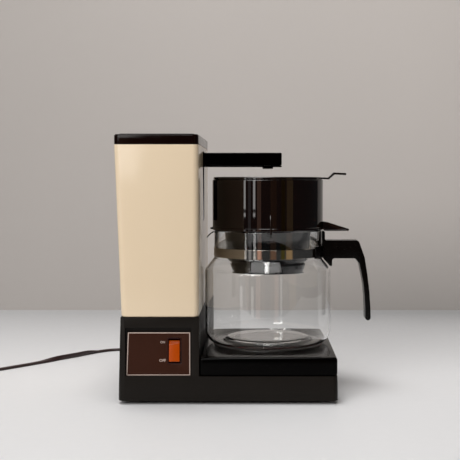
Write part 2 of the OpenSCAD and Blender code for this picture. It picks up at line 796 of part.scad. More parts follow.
// Blades at the back of the switch
module switch_blades() color([0.8, 0.7, 0.4]) for (z = [-9, 0, 9])
    translate([rocker_x - blade_w / 2, plate_y + switch_d, rocker_z + z - blade_t / 2])
        cube([blade_w, contact_l, blade_t]);

// Lamp behind the rocker
module neon_lamp() color([1, 0.5, 0.2])
    translate([rocker_x - lamp_l / 2, plate_y + pocket_d - lamp_r - 0.1, rocker_z]) rotate([0, 90, 0])
        cylinder(r = lamp_r, h = lamp_l);

// Orange rocker: two facets that meet in a ridge near the top, on two pins
module rocker() color([0.80, 0.33, 0.04]) translate([rocker_x, pivot_y, rocker_z]) {
    h = rocker_h / 2;
    face_y = -7.6;
    translate([-rocker_w / 2, 0, 0]) rotate([90, 0, 90]) linear_extrude(rocker_w)
        polygon([[face_y - 2.1, -h + 0.3], [face_y, h - 4.2], [face_y + 3, h - 0.2], [0.6, h - 1.5],
            [2, 4], [2, -4], [0.6, -h + 1.5], [face_y, -h + 0.1]]);
    translate([-switch_w / 2, 0, 0]) rotate([0, 90, 0]) cylinder(d = pivot_d, h = switch_w);
}

// ---------- wiring ----------

wire_r = 1.1;
wire_turn = 3;
wire_step = 7;
cover_top = z_base + cover_t;
block_x = exit_x - 15;
block_y = 52;
block_w = 30;
block_d = 16;

// Block where the mains lead meets the wires
module terminal_block() color([0.9, 0.9, 0.85]) translate([block_x, block_y, cover_top]) difference() {
    cube([block_w, block_d, 16]);
    for (x = [8, block_w - 8]) translate([x, block_d / 2, 12]) cylinder(r = 2.4, h = 6);
}

// Way of a wire from one pin of the heater to a place in the console, at two levels
function heater_way(s, low, high) = let (x0 = axis_x - rod_leg - pin_l, y = s * rod_loop_r)
    [[x0, y, rod_z], [x0 - wire_step, y, rod_z], [x0 - wire_step, y, low],
    [tower_right + 4, y, low], [tower_right + 4, y, high]];

// Three insulated wires and the lead's inner end
module inner_wiring() color([0.25, 0.15, 0.1]) {
    low = z_slab + 6;
    high = run_z + hose_r + 3.2;
    blade_y = plate_y + switch_d + contact_l;
    // Heater to switch
    bent_bar(concat(heater_way(-1, low, high), [[rocker_x, -rod_loop_r, high],
        [rocker_x, -rod_loop_r, rocker_z], [rocker_x, blade_y, rocker_z]]), wire_turn, wire_r);
    // Heater to terminal block
    bent_bar(concat(heater_way(1, low, high), [[exit_x + 8, rod_loop_r, high],
        [exit_x + 8, rod_loop_r, exit_z], [exit_x + 8, block_y, exit_z]]), wire_turn, wire_r);
    // Terminal block to switch
    x = exit_x - 6;
    y = blade_y + 8;
    bent_bar([[x, block_y, exit_z - 3], [x, y, exit_z - 3], [x, y, rocker_z - 9],
        [rocker_x, y, rocker_z - 9], [rocker_x, blade_y, rocker_z - 9]], wire_turn, wire_r);
    lead_start = block_y + block_d;
    translate([exit_x - lead_w / 2, lead_start, exit_z - lead_t / 2])
        cube([lead_w, y_back - 6 - lead_start, lead_t]);
}

clamp_w = 22;
clamp_d = 8;

// Saddle that holds the lead to the bottom cover
module cord_clamp() color([0.9, 0.9, 0.85])
    translate([exit_x - clamp_w / 2, y_back - 2 * clamp_d, cover_top]) difference() {
        cube([clamp_w, clamp_d, exit_z + 5 - cover_top]);
        translate([clamp_w / 2 - lead_w / 2, -1, exit_z - lead_t / 2 - cover_top])
            cube([lead_w, clamp_d + 2, lead_t]);
    }

// ---------- jug ----------

shoulder_z = foot_z + 86;
shoulder_r = 8;
neck_z = foot_z + 103.5;
foot_fillet = 16;
foot_ring_r = 55;
foot_rise = 6;
lip_w = 30;
lip_out = 8.2;
lip_drop = 11;
arc_steps = 8;

// Points of a circle's arc, in the plane of a turned outline
function arc(cx, cz, r, a0, a1, n = arc_steps) =
    [for (i = [0 : n]) let (a = a0 + (a1 - a0) * i / n) [cx + r * cos(a), cz + r * sin(a)]];

// Foot of the jug from its middle to its ring, on one face of the glass
function foot_line(t) = [[0, foot_z + foot_rise + t], [foot_ring_r - 6, foot_z + foot_rise - 0.6 + t],
    [foot_ring_r - 3, foot_z + 2 + t], [foot_ring_r, foot_z + t]];

// Belly and shoulder on one face of the glass
function belly_line(t, n) = concat(
    arc(jug_r - foot_fillet, foot_z + foot_fillet, foot_fillet - t, -90, 0),
    arc(jug_r - shoulder_r, shoulder_z, shoulder_r - t, 0, 45, n));

function flipped(p) = [for (i = [len(p) - 1 : -1 : 0]) p[i]];

// Glass jug with a recessed foot and a poured lip
module jug_glass() color([0.85, 0.9, 0.9, 0.35]) {
    translate([axis_x, 0, 0]) rotate_extrude($fn = 96) polygon(concat(foot_line(0), belly_line(0, 4),
        [[neck_r + 1, neck_z - 1.6], [neck_r, neck_z + 0.8]],
        arc(neck_r - glass / 2, rim_z - glass / 2, glass / 2, 0, 180, 6),
        [[neck_r - glass, neck_z], [neck_r + 1 - glass, neck_z - 2.4]],
        flipped(belly_line(glass, 4)), flipped(foot_line(glass))));
    // Lip that bends out and down from the rim
    hull() {
        translate([axis_x - neck_r + 0.4, -lip_w / 2, rim_z - 3.2]) cube([1.2, lip_w, 2]);
        translate([axis_x - neck_r - lip_out, -lip_w / 10, rim_z - lip_drop]) cube([1.4, lip_w / 5, 1.8]);
    }
}

saddle_in = neck_r + band_t + 0.1;
saddle_angle = 34;
saddle_t = 2.6;
band_top = band_z + band_h;
band_tab_w = 10;
band_tab_l = 14;

// Steel band round the neck, with the folded tab that the screw holds
module neck_band() color([0.75, 0.74, 0.72]) {
    translate([axis_x, 0, band_z]) difference() {
        cylinder(r = neck_r + band_t, h = band_h);
        translate([0, 0, -1]) cylinder(r = neck_r, h = band_h + 2);
    }
    difference() {
        translate([axis_x + neck_r + 0.3, -band_tab_w / 2, band_top - 1.2]) cube([band_tab_l, band_tab_w, 1.2]);
        translate([screw_x, 0, band_z]) cylinder(r = screw_r + 0.3, h = 2 * band_h);
    }
}

handle_top = band_top + 8;
handle_under = handle_top - 21.6;
stem_top = rim_z - 1.5;
screw_x = axis_x + neck_r + 10;
screw_low = band_top - 7;
band_nut_t = 3;
band_nut_r = 3.1;

// Side view of the handle: stem, top plate, grip and strut
module handle_outline() {
    x0 = axis_x + saddle_in;
    xe = axis_x + handle_reach;
    u = handle_under;
    polygon(concat(
        [[x0, u + 2], [x0, stem_top], [x0 + 3.2, stem_top], [x0 + 3.4, handle_top + 2]],
        arc(x0 + 5.4, handle_top + 2, 2, 180, 270, 4),
        arc(xe - 16.6, handle_top - 3, 3, 90, 16, 4),
        [[xe - 7.2, u + 1], [xe - 4, u - 19], [xe - 1.5, u - 39], [xe - 0.3, u - 58], [xe, u - 70]],
        arc(xe - 3.1, u - 71.5, 3.1, 0, -180, 6),
        [[xe - 6.4, u - 62], [xe - 7.2, u - 46], [xe - 9, u - 29], [xe - 13.7, u - 6]],
        arc(xe - 20.6, u - 4.5, 4.5, 12, 90, 4),
        arc(x0 + 15, u - 3, 3, 90, 180, 4),
        [[x0 + 12, u - 10.7], [x0 + 10.2, u - 10.7]]));
}

// Handle with the saddle that hugs the band
module jug_handle() color([0.05, 0.03, 0.03]) difference() {
    union() {
        translate([0, handle_w / 2, 0]) rotate([90, 0, 0]) linear_extrude(handle_w) handle_outline();
        translate([axis_x, 0, band_z - 1]) rotate([0, 0, -saddle_angle])
            rotate_extrude(angle = 2 * saddle_angle) translate([saddle_in, 0]) square([saddle_t, band_h + 3]);
    }
    translate([axis_x, 0, handle_under - 30]) cylinder(r = saddle_in, h = 80);
    // Pocket of the band's tab, screw hole, seat of the screw's head and nut pocket
    translate([axis_x + neck_r, -band_tab_w / 2 - slip, band_top - 1.4])
        cube([band_tab_l + 0.6, band_tab_w + 2 * slip, 1.6]);
    translate([screw_x, 0, screw_low - 1]) cylinder(r = screw_r + 0.4, h = 40);
    translate([screw_x, 0, handle_top - 2.2]) cylinder(r = screw_head_r + 0.3, h = 10);
    translate([screw_x, 0, band_top - band_nut_t - 1.6])
        cylinder(r = band_nut_r + slip, h = band_nut_t + 0.3, $fn = 6);
}

// Screw that pulls the handle to the band
module band_screw() color("silver") translate([screw_x, 0, 0]) {
    translate([0, 0, handle_top - 2.2]) cylinder(r = screw_head_r, h = 1.9);
    translate([0, 0, screw_low]) cylinder(r = screw_r - pin_play, h = handle_top - 2 - screw_low);
}

// Nut of that screw
module band_nut() color("silver") translate([screw_x, 0, band_top - band_nut_t - 1.5]) difference() {
    cylinder(r = band_nut_r, h = band_nut_t, $fn = 6);
    translate([0, 0, -1]) cylinder(r = screw_r, h = band_nut_t + 3);
}

// ---------- basket ----------

step_z = basket_z - 34;
skirt_low = basket_z - 50;
skirt_top = basket_z - 41.5;
floor_t = 2.4;
thumb_w = 30;
thumb_reach = 29.8;

// Outline of the basket's outer face, from the drip skirt up to the drum's top
function basket_outside() = [[skirt_r - 4, skirt_top - 2], [skirt_r - 4.5, skirt_low],
    [skirt_r - 2.5, skirt_low], [skirt_r, skirt_top - 0.6],
    [funnel_low_r - 5, skirt_top + 1], [funnel_low_r, step_z],
    [funnel_top_r, basket_z], [basket_r - 1.2, basket_z], [basket_r, basket_z + 1.2], [basket_r, basket_top]];

// Outline of its inner face, from the drum's top down to the drip hole
function basket_inside(w) = [[basket_r - w, basket_top], [basket_r - w, basket_z + floor_t],
    [funnel_top_r - w, basket_z + floor_t], [funnel_low_r - w, step_z],
    [funnel_low_r - 5 - w, skirt_top + 1], [30, skirt_low + 10], [5, skirt_low + 6],
    [5, skirt_low + 2], [8, skirt_low + 2], [32, skirt_low + 6.5]];

// Filter basket: drum, funnel, step and drip skirt, with its thumb tab and front nib
module filter_basket() color([0.10, 0.06, 0.05]) {
    translate([axis_x, 0, 0]) rotate_extrude($fn = 96)
        polygon(concat(basket_outside(), basket_inside(basket_wall)));
    // Thumb tab: a wedge at the right
    translate([axis_x, thumb_w / 2, 0]) rotate([90, 0, 0]) linear_extrude(thumb_w)
        polygon([[basket_r - 1, basket_z + 1], [basket_r + 0.6, basket_z - 1.2],
            [basket_r + thumb_reach - 0.5, basket_z - 1.2], [basket_r + thumb_reach, basket_z + 1.2],
            [basket_r + 4, basket_z + 9.2], [basket_r - 1, basket_z + 10]]);
    // Nib that hangs in front of the jug's rim, with a short rib above it
    translate([axis_x + 2, -basket_r - 0.4, basket_z - 7]) cube([2.2, 1.8, 26]);
    // Small ear at the left
    translate([axis_x - basket_r - 2, -6, basket_z + 0.5]) cube([3.5, 12, 2.2]);
}

lid_t = 3.2;
lid_seat = 3.5;
lid_play = 0.6;
rim_t = 1.6;
lid_z = basket_top + body_gap;
tab_w = 24;
tab_t = 2.6;
tab_up = 6;
tab_reach = 26.5;
hole_ring_r = 6;
hole_r = 1.2;

// Lid of the basket, with a stepped tab
module basket_lid() color([0.10, 0.06, 0.05]) translate([axis_x, 0, 0]) difference() {
    rim_r = basket_r - basket_wall - lid_play;
    union() {
        translate([0, 0, lid_z]) rotate_extrude($fn = 96)
            polygon([[0, 0.6], [basket_r - 5, 0.6], [basket_r - 5, 0], [basket_r - 2, 0],
                [basket_r - 1.6, 0.6], [basket_r - 2.4, lid_t - 0.6], [basket_r - 6, lid_t],
                [12, lid_t + 0.9], [9, lid_t + 0.2], [0, lid_t]]);
        translate([0, 0, lid_z - lid_seat]) difference() {
            cylinder(r = rim_r, h = lid_seat + 0.7, $fn = 96);
            translate([0, 0, -1]) cylinder(r = rim_r - rim_t, h = lid_seat + 3, $fn = 96);
        }
        translate([0, tab_w / 2, lid_z]) rotate([90, 0, 0]) linear_extrude(tab_w)
            polygon([[basket_r - 8, 0.2], [basket_r + 6, 0.2], [basket_r + 12.5, tab_up],
                [basket_r + tab_reach, tab_up - 0.7], [basket_r + tab_reach, tab_up + tab_t - 0.7],
                [basket_r + 11.5, tab_up + tab_t], [basket_r + 5, tab_t], [basket_r - 8, tab_t + 0.2]]);
    }
    for (a = [0 : 60 : 300])
        rotate([0, 0, a]) translate([hole_ring_r, 0, basket_top]) cylinder(r = hole_r, h = 8);
}

// ---------- cord ----------

// Tapered boot that guards the lead where it leaves the base
module strain_relief() color([0.06, 0.04, 0.04])
    translate([exit_x, y_back, exit_z]) rotate([-90, 0, 0]) rotate_extrude()
        polygon([[0, -6], [9, -6], [9, -wall - 0.1], [boot_neck_r - 0.1, -wall - 0.1], [boot_neck_r - 0.1, 0.1],
            [9, 0.1], [9, 2.5], [6, 2.5], [4.4, boot_l + 2.5], [0, boot_l + 2.5]]);

// Ring of a flat lead's outline round point p, with the path running along t
function lead_ring(p, t, w, h, sides) =
    let (side = unit(cross([0, 0, 1], t)), up = cross(t, side))
    [for (k = [0 : sides - 1]) let (a = 360 * (k + 0.5) / sides)
        p + side * cos(a) * w / 2 + up * sin(a) * h / 2];

function heading(p, i) = unit(p[min(i + 1, len(p) - 1)] - p[max(i - 1, 0)]);

// A smooth curve through points: four steps for each stretch
function curve(p) = [for (i = [0 : len(p) - 2], s = [0 : 0.25 : 0.75]) let (
        a = p[max(i - 1, 0)], b = p[i], c = p[i + 1], d = p[min(i + 2, len(p) - 1)])
        0.5 * (2 * b + (c - a) * s + (2 * a - 5 * b + 4 * c - d) * s * s + (3 * b - a - 3 * c + d) * s * s * s),
    p[len(p) - 1]];

// A flat lead swept along points
module lead(points, sides = 8) {
    p = points;
    n = len(p);
    rings = [for (i = [0 : n - 1]) each lead_ring(p[i], heading(p, i), lead_w, lead_t, sides)];
    walls = [for (i = [0 : n - 2], k = [0 : sides - 1]) let (j = (k + 1) % sides)
        [i * sides + k, i * sides + j, (i + 1) * sides + j, (i + 1) * sides + k]];
    polyhedron(rings, concat(walls, [[for (k = [sides - 1 : -1 : 0]) k]],
        [[for (k = [0 : sides - 1]) (n - 1) * sides + k]]));
}

// Every second point of the curve through points
function route(p) = let (c = curve(p)) [for (i = [0 : 2 : len(c) - 1]) c[i]];

// Lead from the boot to the coil
module cord_lead() color([0.10, 0.06, 0.06]) lead(route(cord_points));

// Outer shape of the coil: three turns in two layers
module cord_coil() color([0.10, 0.06, 0.06]) translate([coil_x, coil_y, 0.1]) rotate_extrude()
    translate([coil_in, 0]) square([coil_out - coil_in, coil_h]);

// Lead from the coil to the plug
module cord_tail() color([0.10, 0.06, 0.06]) lead(route(tail_points));

// Tie round the turns of the coil
module coil_tie() color([0.08, 0.08, 0.08]) translate([coil_x, coil_y, 0]) rotate([0, 0, 90]) difference() {
    t = 1.2;
    w = 6;
    translate([coil_in - t, -w / 2, 0.1]) cube([coil_out - coil_in + 2 * t, w, coil_h + t]);
    translate([coil_in - 0.2, -w / 2 - 1, -1]) cube([coil_out - coil_in + 0.3, w + 2, coil_h + 1.1]);
}

plug_neck_l = 8;
plug_neck_w = 8.4;
plug_pin_gap = 12.7;
plug_pin_l = 17;
plug_pin_t = 1.5;

// Moves a piece to the end of the tail, with the plug's length along X
module at_plug() {
    end = tail_points[len(tail_points) - 1];
    translate([end.x, end.y, plug_t / 2]) rotate([0, 0, 90]) children();
}

// Flat plug with a short neck
module plug_body() color([0.06, 0.04, 0.04]) at_plug() {
    translate([0, -plug_neck_w / 2, -plug_neck_w / 2]) cube([plug_neck_l, plug_neck_w, plug_neck_w]);
    translate([plug_neck_l - eps, 0, -plug_t / 2])
        rounded_plate(0, -plug_w / 2, plug_l - plug_neck_l, plug_w / 2, 3, plug_t);
}

// Two flat blades
module plug_blades() color("silver") at_plug() for (s = [-1, 1])
    translate([plug_l - eps, s * plug_pin_gap / 2 - plug_pin_t / 2, -blade_w / 2])
        cube([plug_pin_l, plug_pin_t, blade_w]);

base_housing();
bottom_cover();
rubber_feet();
cover_screws();
hotplate_surround();
surround_screws();
hotplate();
hotplate_seal();
heating_element();
water_tube();
clamp_bar();
clamp_nut();
thermostat();
thermal_fuse();
inlet_hose();
check_valve_body();
check_ball();
tank_hose();
outlet_hose();
riser_pipe();
pipe_sleeve();
arm_tube();
water_tank();
tank_grommet();
tower_shell();
rear_cover();
rear_screws();
arm_root_plate();
spout_arm();
arm_cover();
outlet_nozzle();
tower_lid();
control_plate();
plate_border();
switch_body();
switch_blades();
neon_lamp();
rocker();
terminal_block();
inner_wiring();
cord_clamp();
strain_relief();
jug_glass();
neck_band();
band_screw();
band_nut();
jug_handle();
filter_basket();
basket_lid();
cord_lead();
cord_coil();
cord_tail();
coil_tie();
plug_body();
plug_blades();
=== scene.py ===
import json
from math import atan2, cos, degrees, pi, radians, sin

import bpy
from mathutils import Matrix, Vector


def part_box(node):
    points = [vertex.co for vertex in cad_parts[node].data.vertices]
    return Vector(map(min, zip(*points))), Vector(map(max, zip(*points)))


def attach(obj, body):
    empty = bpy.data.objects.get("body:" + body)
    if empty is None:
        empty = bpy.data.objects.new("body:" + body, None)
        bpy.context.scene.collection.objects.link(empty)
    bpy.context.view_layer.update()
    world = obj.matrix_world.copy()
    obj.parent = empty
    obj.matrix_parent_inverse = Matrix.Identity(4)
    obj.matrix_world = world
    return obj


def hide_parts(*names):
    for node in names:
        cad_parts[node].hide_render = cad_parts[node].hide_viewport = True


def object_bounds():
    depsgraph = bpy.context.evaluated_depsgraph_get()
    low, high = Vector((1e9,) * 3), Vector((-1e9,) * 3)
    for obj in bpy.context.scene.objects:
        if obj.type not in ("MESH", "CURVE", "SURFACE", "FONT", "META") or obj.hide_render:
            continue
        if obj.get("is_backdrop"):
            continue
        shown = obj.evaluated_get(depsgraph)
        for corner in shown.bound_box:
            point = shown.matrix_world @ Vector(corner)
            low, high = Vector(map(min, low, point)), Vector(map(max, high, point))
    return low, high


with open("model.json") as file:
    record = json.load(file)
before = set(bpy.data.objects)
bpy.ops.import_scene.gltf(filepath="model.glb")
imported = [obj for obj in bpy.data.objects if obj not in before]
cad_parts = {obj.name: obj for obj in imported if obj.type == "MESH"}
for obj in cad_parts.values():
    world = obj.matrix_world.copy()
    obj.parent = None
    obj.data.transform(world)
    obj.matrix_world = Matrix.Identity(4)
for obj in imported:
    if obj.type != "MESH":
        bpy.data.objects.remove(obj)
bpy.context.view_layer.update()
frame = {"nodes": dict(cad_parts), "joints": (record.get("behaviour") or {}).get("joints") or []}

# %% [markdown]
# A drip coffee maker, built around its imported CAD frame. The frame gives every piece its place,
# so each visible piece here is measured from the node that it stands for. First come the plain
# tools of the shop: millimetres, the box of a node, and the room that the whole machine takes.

for leftover in ("Cube", "Light", "Camera"):
    if leftover in bpy.data.objects:
        bpy.data.objects.remove(bpy.data.objects[leftover])
mm = 0.001


def reach(node):
    """Lowest and highest corner of a node, in millimetres."""
    low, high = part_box(node)
    return low / mm, high / mm


base_low, base_high = reach("base_housing")
shell_low, shell_high = reach("tower_shell")
glass_low, glass_high = reach("jug_glass")
band_low = reach("neck_band")[0]
basket_low, basket_high = reach("filter_basket")
lid_low = reach("basket_lid")[0]
arm_low, arm_high = reach("spout_arm")
plate_low, plate_high = reach("hotplate")
axis_x = (plate_low.x + plate_high.x) / 2
print("jug axis at x =", round(axis_x, 2), "mm")

# %% [markdown]
# The camera stands in front of the machine, a little to the right of the tower, and looks down by
# three degrees. A long lens keeps the uprights upright, and a small shift slides the frame sideways
# without turning the camera, so the tower's two edges stay parallel.

# %% Camera
PICTURE_SIDE = 460
FOCAL_PIXELS = 1000
SENSOR = 36
CAMERA_TILT = 3
VANISHING_X = 258
CAMERA_PLACE = (0.01175, -1.204, 0.252)

camera_data = bpy.data.cameras.new("camera")
camera_data.sensor_width = SENSOR
camera_data.lens = SENSOR * FOCAL_PIXELS / PICTURE_SIDE
camera_data.shift_x = (PICTURE_SIDE / 2 - VANISHING_X) / PICTURE_SIDE
camera = bpy.data.objects.new("camera", camera_data)
camera.location = CAMERA_PLACE
camera.rotation_euler = (radians(90 - CAMERA_TILT), 0, 0)
bpy.context.scene.collection.objects.link(camera)
bpy.context.scene.camera = camera
print("lens", round(camera_data.lens, 1), "mm")

# %% [markdown]
# Materials are written as small sums. A Knob holds one socket, and plus, minus and times on it add
# the Math nodes that a hand would have wired. Finish is the bench where one material is mixed: it
# hands out noise and colour mixes, and sets the shader's fixed values on its own sockets.

# %% Knobs and finishes
class Knob:
    """A value inside a material; arithmetic on it adds Math nodes."""

    def __init__(self, finish, socket):
        self.finish, self.socket = finish, socket

    def _sum(self, operation, first, second):
        return self.finish.node("ShaderNodeMath", {"operation": operation}, {0: first, 1: second})

    def __add__(self, other):
        return self._sum("ADD", self, other)

    def __sub__(self, other):
        return self._sum("SUBTRACT", self, other)

    def __rsub__(self, other):
        return self._sum("SUBTRACT", other, self)

    def __mul__(self, other):
        return self._sum("MULTIPLY", self, other)

    def __pow__(self, other):
        return self._sum("POWER", self, other)

    __radd__, __rmul__ = __add__, __mul__


class Finish:
    """One material, mixed from nodes."""

    def __init__(self, name, **fixed):
        self.material = bpy.data.materials.new(name)
        self.material.use_nodes = True
        self.tree = self.material.node_tree
        self.shader = self.tree.nodes["Principled BSDF"]
        for socket, value in fixed.items():
            self.shader.inputs[socket.replace("_", " ")].default_value = value
        self.place = self.node("ShaderNodeTexCoord", {}, {}, "Object")

    def node(self, kind, settings, sockets, out=0):
        made = self.tree.nodes.new(kind)
        for key, value in settings.items():
            setattr(made, key, value)
        for key, value in sockets.items():
            if isinstance(value, Knob):
                self.tree.links.new(value.socket, made.inputs[key])
            else:
                made.inputs[key].default_value = value
        return Knob(self, made.outputs[out])

    def stretched(self, x=1, y=1, z=1):
        return self.node("ShaderNodeMapping", {}, {"Vector": self.place, "Scale": (x, y, z)})

    def noise(self, scale, detail=3, roughness=0.5, place=None):
        sockets = {"Vector": place or self.place, "Scale": scale, "Detail": detail, "Roughness": roughness}
        return self.node("ShaderNodeTexNoise", {}, sockets)

    def spread(self, value, low, high, to_low=0.0, to_high=1.0):
        sockets = {0: value, 1: low, 2: high, 3: to_low, 4: to_high}
        return self.node("ShaderNodeMapRange", {"clamp": True}, sockets)

    def mix(self, factor, first, second):
        return self.node("ShaderNodeMix", {"data_type": "RGBA"}, {0: factor, 6: first, 7: second}, 2)

    def bump(self, height, strength, distance=0.0004):
        return self.node("ShaderNodeBump", {}, {"Height": height, "Strength": strength, "Distance": distance})

    def feed(self, **links):
        for socket, value in links.items():
            self.tree.links.new(value.socket, self.shader.inputs[socket.replace("_", " ")])
        return self.material


def screen(red, green, blue):
    """A colour as it shows on a screen, 0 to 255, turned into the light that a shader works with."""
    return tuple((c / 255) ** 2.2 for c in (red, green, blue)) + (1.0,)


def shade(colour, times):
    return tuple(min(1.0, c * times) for c in colour[:3]) + (1.0,)


print("finish bench ready")

# %% [markdown]
# Shop tools for shaping. A turned piece starts as one point that is extruded along its outline and
# then spun round the axis. A cut piece is a flat outline that is filled and extruded. A cased piece
# is a merged copy of a CAD node whose edges get the small radius that a mould leaves.

# %% Shaping tools
def pick_none():
    if bpy.context.object and bpy.context.object.mode != "OBJECT":
        bpy.ops.object.mode_set(mode="OBJECT")
    bpy.ops.object.select_all(action="DESELECT")


def only(obj):
    """Makes obj the one selected and active object."""
    pick_none()
    obj.select_set(True)
    bpy.context.view_layer.objects.active = obj
    return obj


def settled(obj):
    """Moves the object's place, turn and scale into its mesh."""
    only(obj)
    bpy.ops.object.transform_apply(location=True, rotation=True, scale=True)
    return obj


def smoothed(obj, angle=30):
    only(obj)
    bpy.ops.object.shade_smooth_by_angle(angle=radians(angle))
    return obj


def with_modifier(obj, kind, **settings):
    """Adds a modifier, sets it and applies it."""
    only(obj)
    made = obj.modifiers.new(kind.lower(), kind)
    for key, value in settings.items():
        setattr(made, key, value)
    bpy.ops.object.modifier_apply(modifier=made.name)
    return obj


def eased(obj, radius, steps=3, angle=35):
    """Rounds every edge sharper than the angle; radius in millimetres."""
    with_modifier(obj, "BEVEL", width=radius * mm, segments=steps, limit_method="ANGLE",
                  angle_limit=radians(angle), harden_normals=False, miter_outer="MITER_ARC")
    return smoothed(obj, 40)


def drawn(name, points):
    """A chain of points in the XZ plane or in space, extruded one by one; millimetres."""
    points = [Vector((p[0], 0, p[1]) if len(p) == 2 else p) * mm for p in points]
    pick_none()
    bpy.ops.mesh.primitive_plane_add(size=mm, location=points[0])
    obj = bpy.context.object
    obj.name = name
    bpy.ops.object.mode_set(mode="EDIT")
    bpy.ops.mesh.select_mode(type="VERT")
    bpy.ops.mesh.select_all(action="SELECT")
    bpy.ops.mesh.merge(type="CENTER")
    for start, end in zip(points, points[1:]):
        bpy.ops.mesh.extrude_region_move(TRANSFORM_OT_translate={"value": end - start})
    return obj


def sewn(obj):
    """Merges doubles and turns all faces outwards; obj is in edit mode."""
    bpy.ops.mesh.select_all(action="SELECT")
    bpy.ops.mesh.remove_doubles(threshold=0.00002)
    bpy.ops.mesh.normals_make_consistent(inside=False)
    bpy.ops.object.mode_set(mode="OBJECT")
    return settled(obj)


def turned(name, outline, steps=96, centre=None, closed=False, angle=30):
    """A piece turned on a lathe. The outline is (distance from the axis, height) pairs."""
    x = axis_x if centre is None else centre
    points = [(x + r, z) for r, z in outline]
    if closed:
        points.append(points[0])
    obj = drawn(name, points)
    bpy.ops.mesh.select_all(action="SELECT")
    bpy.ops.mesh.spin(steps=steps, angle=radians(360), center=(x * mm, 0, 0), axis=(0, 0, 1))
    return smoothed(sewn(obj), angle)


def cut_from(name, outline, depth):
    """A flat outline, filled and extruded by the depth, then centred on its own thickness."""
    obj = drawn(name, outline)
    bpy.ops.mesh.select_all(action="SELECT")
    bpy.ops.mesh.edge_face_add()
    bpy.ops.mesh.extrude_region_move(TRANSFORM_OT_translate={"value": (0, depth * mm, 0)})
    bpy.ops.mesh.select_all(action="SELECT")
    bpy.ops.transform.translate(value=(0, -depth * mm / 2, 0))
    return sewn(obj)


def block(name, low, high):
    """A cube primitive sized between two corners, in millimetres."""
    low, high = Vector(low) * mm, Vector(high) * mm
    pick_none()
    bpy.ops.mesh.primitive_cube_add(size=1, location=(low + high) / 2, scale=high - low)
    obj = bpy.context.object
    obj.name = name
    return settled(obj)


def peg(name, bottom, radius, height, sides=32, along=(0, 0, 1)):
    """A short round bar that starts at bottom and runs along an axis."""
    pick_none()
    along = Vector(along)
    bpy.ops.mesh.primitive_cylinder_add(vertices=sides, radius=radius * mm, depth=height * mm,
                                        location=Vector(bottom) * mm + along * height * mm / 2,
                                        rotation=along.to_track_quat("Z", "Y").to_euler())
    obj = bpy.context.object
    obj.name = name
    return settled(obj)


def arc(x, z, radius, start, end, steps=6):
    """Points of a circle's arc in an outline, angles in degrees."""
    turns = [radians(start + (end - start) * i / steps) for i in range(steps + 1)]
    return [(x + radius * cos(a), z + radius * sin(a)) for a in turns]


def joined(name, *parts):
    """Several shapes as one piece."""
    only(parts[0])
    for part in parts[1:]:
        part.select_set(True)
    bpy.ops.object.join()
    parts[0].name = name
    return settled(parts[0])


def carved(obj, *cutters):
    """Cuts the cutters out of obj and removes them."""
    for cutter in cutters:
        with_modifier(obj, "BOOLEAN", operation="DIFFERENCE", object=cutter, solver="EXACT")
        bpy.data.objects.remove(cutter)
    return obj


def cased(node, name, radius=0.5, steps=2):
    """A merged copy of a CAD node with its edges eased."""
    source = frame["nodes"][node]
    obj = bpy.data.objects.new(name, source.data.copy())
    obj.data.materials.clear()
    bpy.context.scene.collection.objects.link(obj)
    only(obj)
    bpy.ops.object.mode_set(mode="EDIT")
    bpy.ops.mesh.select_all(action="SELECT")
    bpy.ops.mesh.remove_doubles(threshold=0.00001)
    bpy.ops.mesh.dissolve_limited(angle_limit=radians(1))
    bpy.ops.object.mode_set(mode="OBJECT")
    if radius:
        with_modifier(obj, "BEVEL", width=radius * mm, segments=steps, limit_method="ANGLE",
                      angle_limit=radians(40), use_clamp_overlap=True)
    return smoothed(obj, 30)


def placed(obj, body, finish, slot, *nodes):
    """Gives the piece its finish and its body, and hides the nodes that it stands for."""
    obj.data.materials.clear()
    obj.data.materials.append(finish)
    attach(obj, body)
    if nodes:
        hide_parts(*nodes)
    print(obj.name, len(obj.data.polygons), "faces")
    return obj


def centres(node, size):
    """Middles of a node's separate solids, found from their corners; size is one solid's width."""
    found = []
    for v in frame["nodes"][node].data.vertices:
        point = v.co / mm
        for group in found:
            if all(abs(point[i] - (group[0][i] + group[1][i]) / 2) < size for i in (0, 1)) and \
                    abs(point.z - (group[0].z + group[1].z) / 2) < 3 * size:
                group[0] = Vector(map(min, group[0], point))
                group[1] = Vector(map(max, group[1], point))
                break
        else:
            found.append([point.copy(), point.copy()])
    return [(low + high) / 2 for low, high in found]


print("shaping tools ready")

# %% [markdown]
# The mains lead leaves the back of the base. It is a flat lead of two cores side by side, so it is a
# tube with a waist, swept along one smooth line: out of the boot, down to the table, round in a
# loose curve, half a turn about itself, and then into a neat coil of three turns in two layers.
# What isn't coiled follows a few given points; a loop works out the turns.

# %% Route of the lead
LEAD_WIDTH, LEAD_THICKNESS = 6.6, 3.4
lead_points = [(-112, 141.5, 16), (-112, 158, 14.5), (-113, 178, 9), (-117, 200, 3.4),
               (-125, 221, 1.8), (-140, 236, 1.8), (-160, 243, 1.8), (-182, 244, 1.8),
               (-203, 238, 1.8), (-218, 225, 1.8), (-230, 208, 1.8), (-245, 187, 1.8),
               (-265, 163, 1.8), (-290, 133, 1.8), (-315, 104, 1.8), (-340, 76, 1.8), (-359, 55, 1.8)]
tail_points = [(-434.7, 84, 5.2), (-434.7, 95, 5.2), (-433.6, 107, 5.4), (-431.4, 119, 6),
               (-429.6, 130, 6.4), (-429, 140, 6.5)]
COIL_X, COIL_Y = -391, 84
COIL_OUTER, TURN_PITCH = 43.4, 6.8
LAYER_SWEEP, STEP_SWEEP = 579, 60
LOW_LAYER, HIGH_LAYER = 1.8, 5.2
COIL_START = degrees(atan2(55 - COIL_Y, -359 - COIL_X))


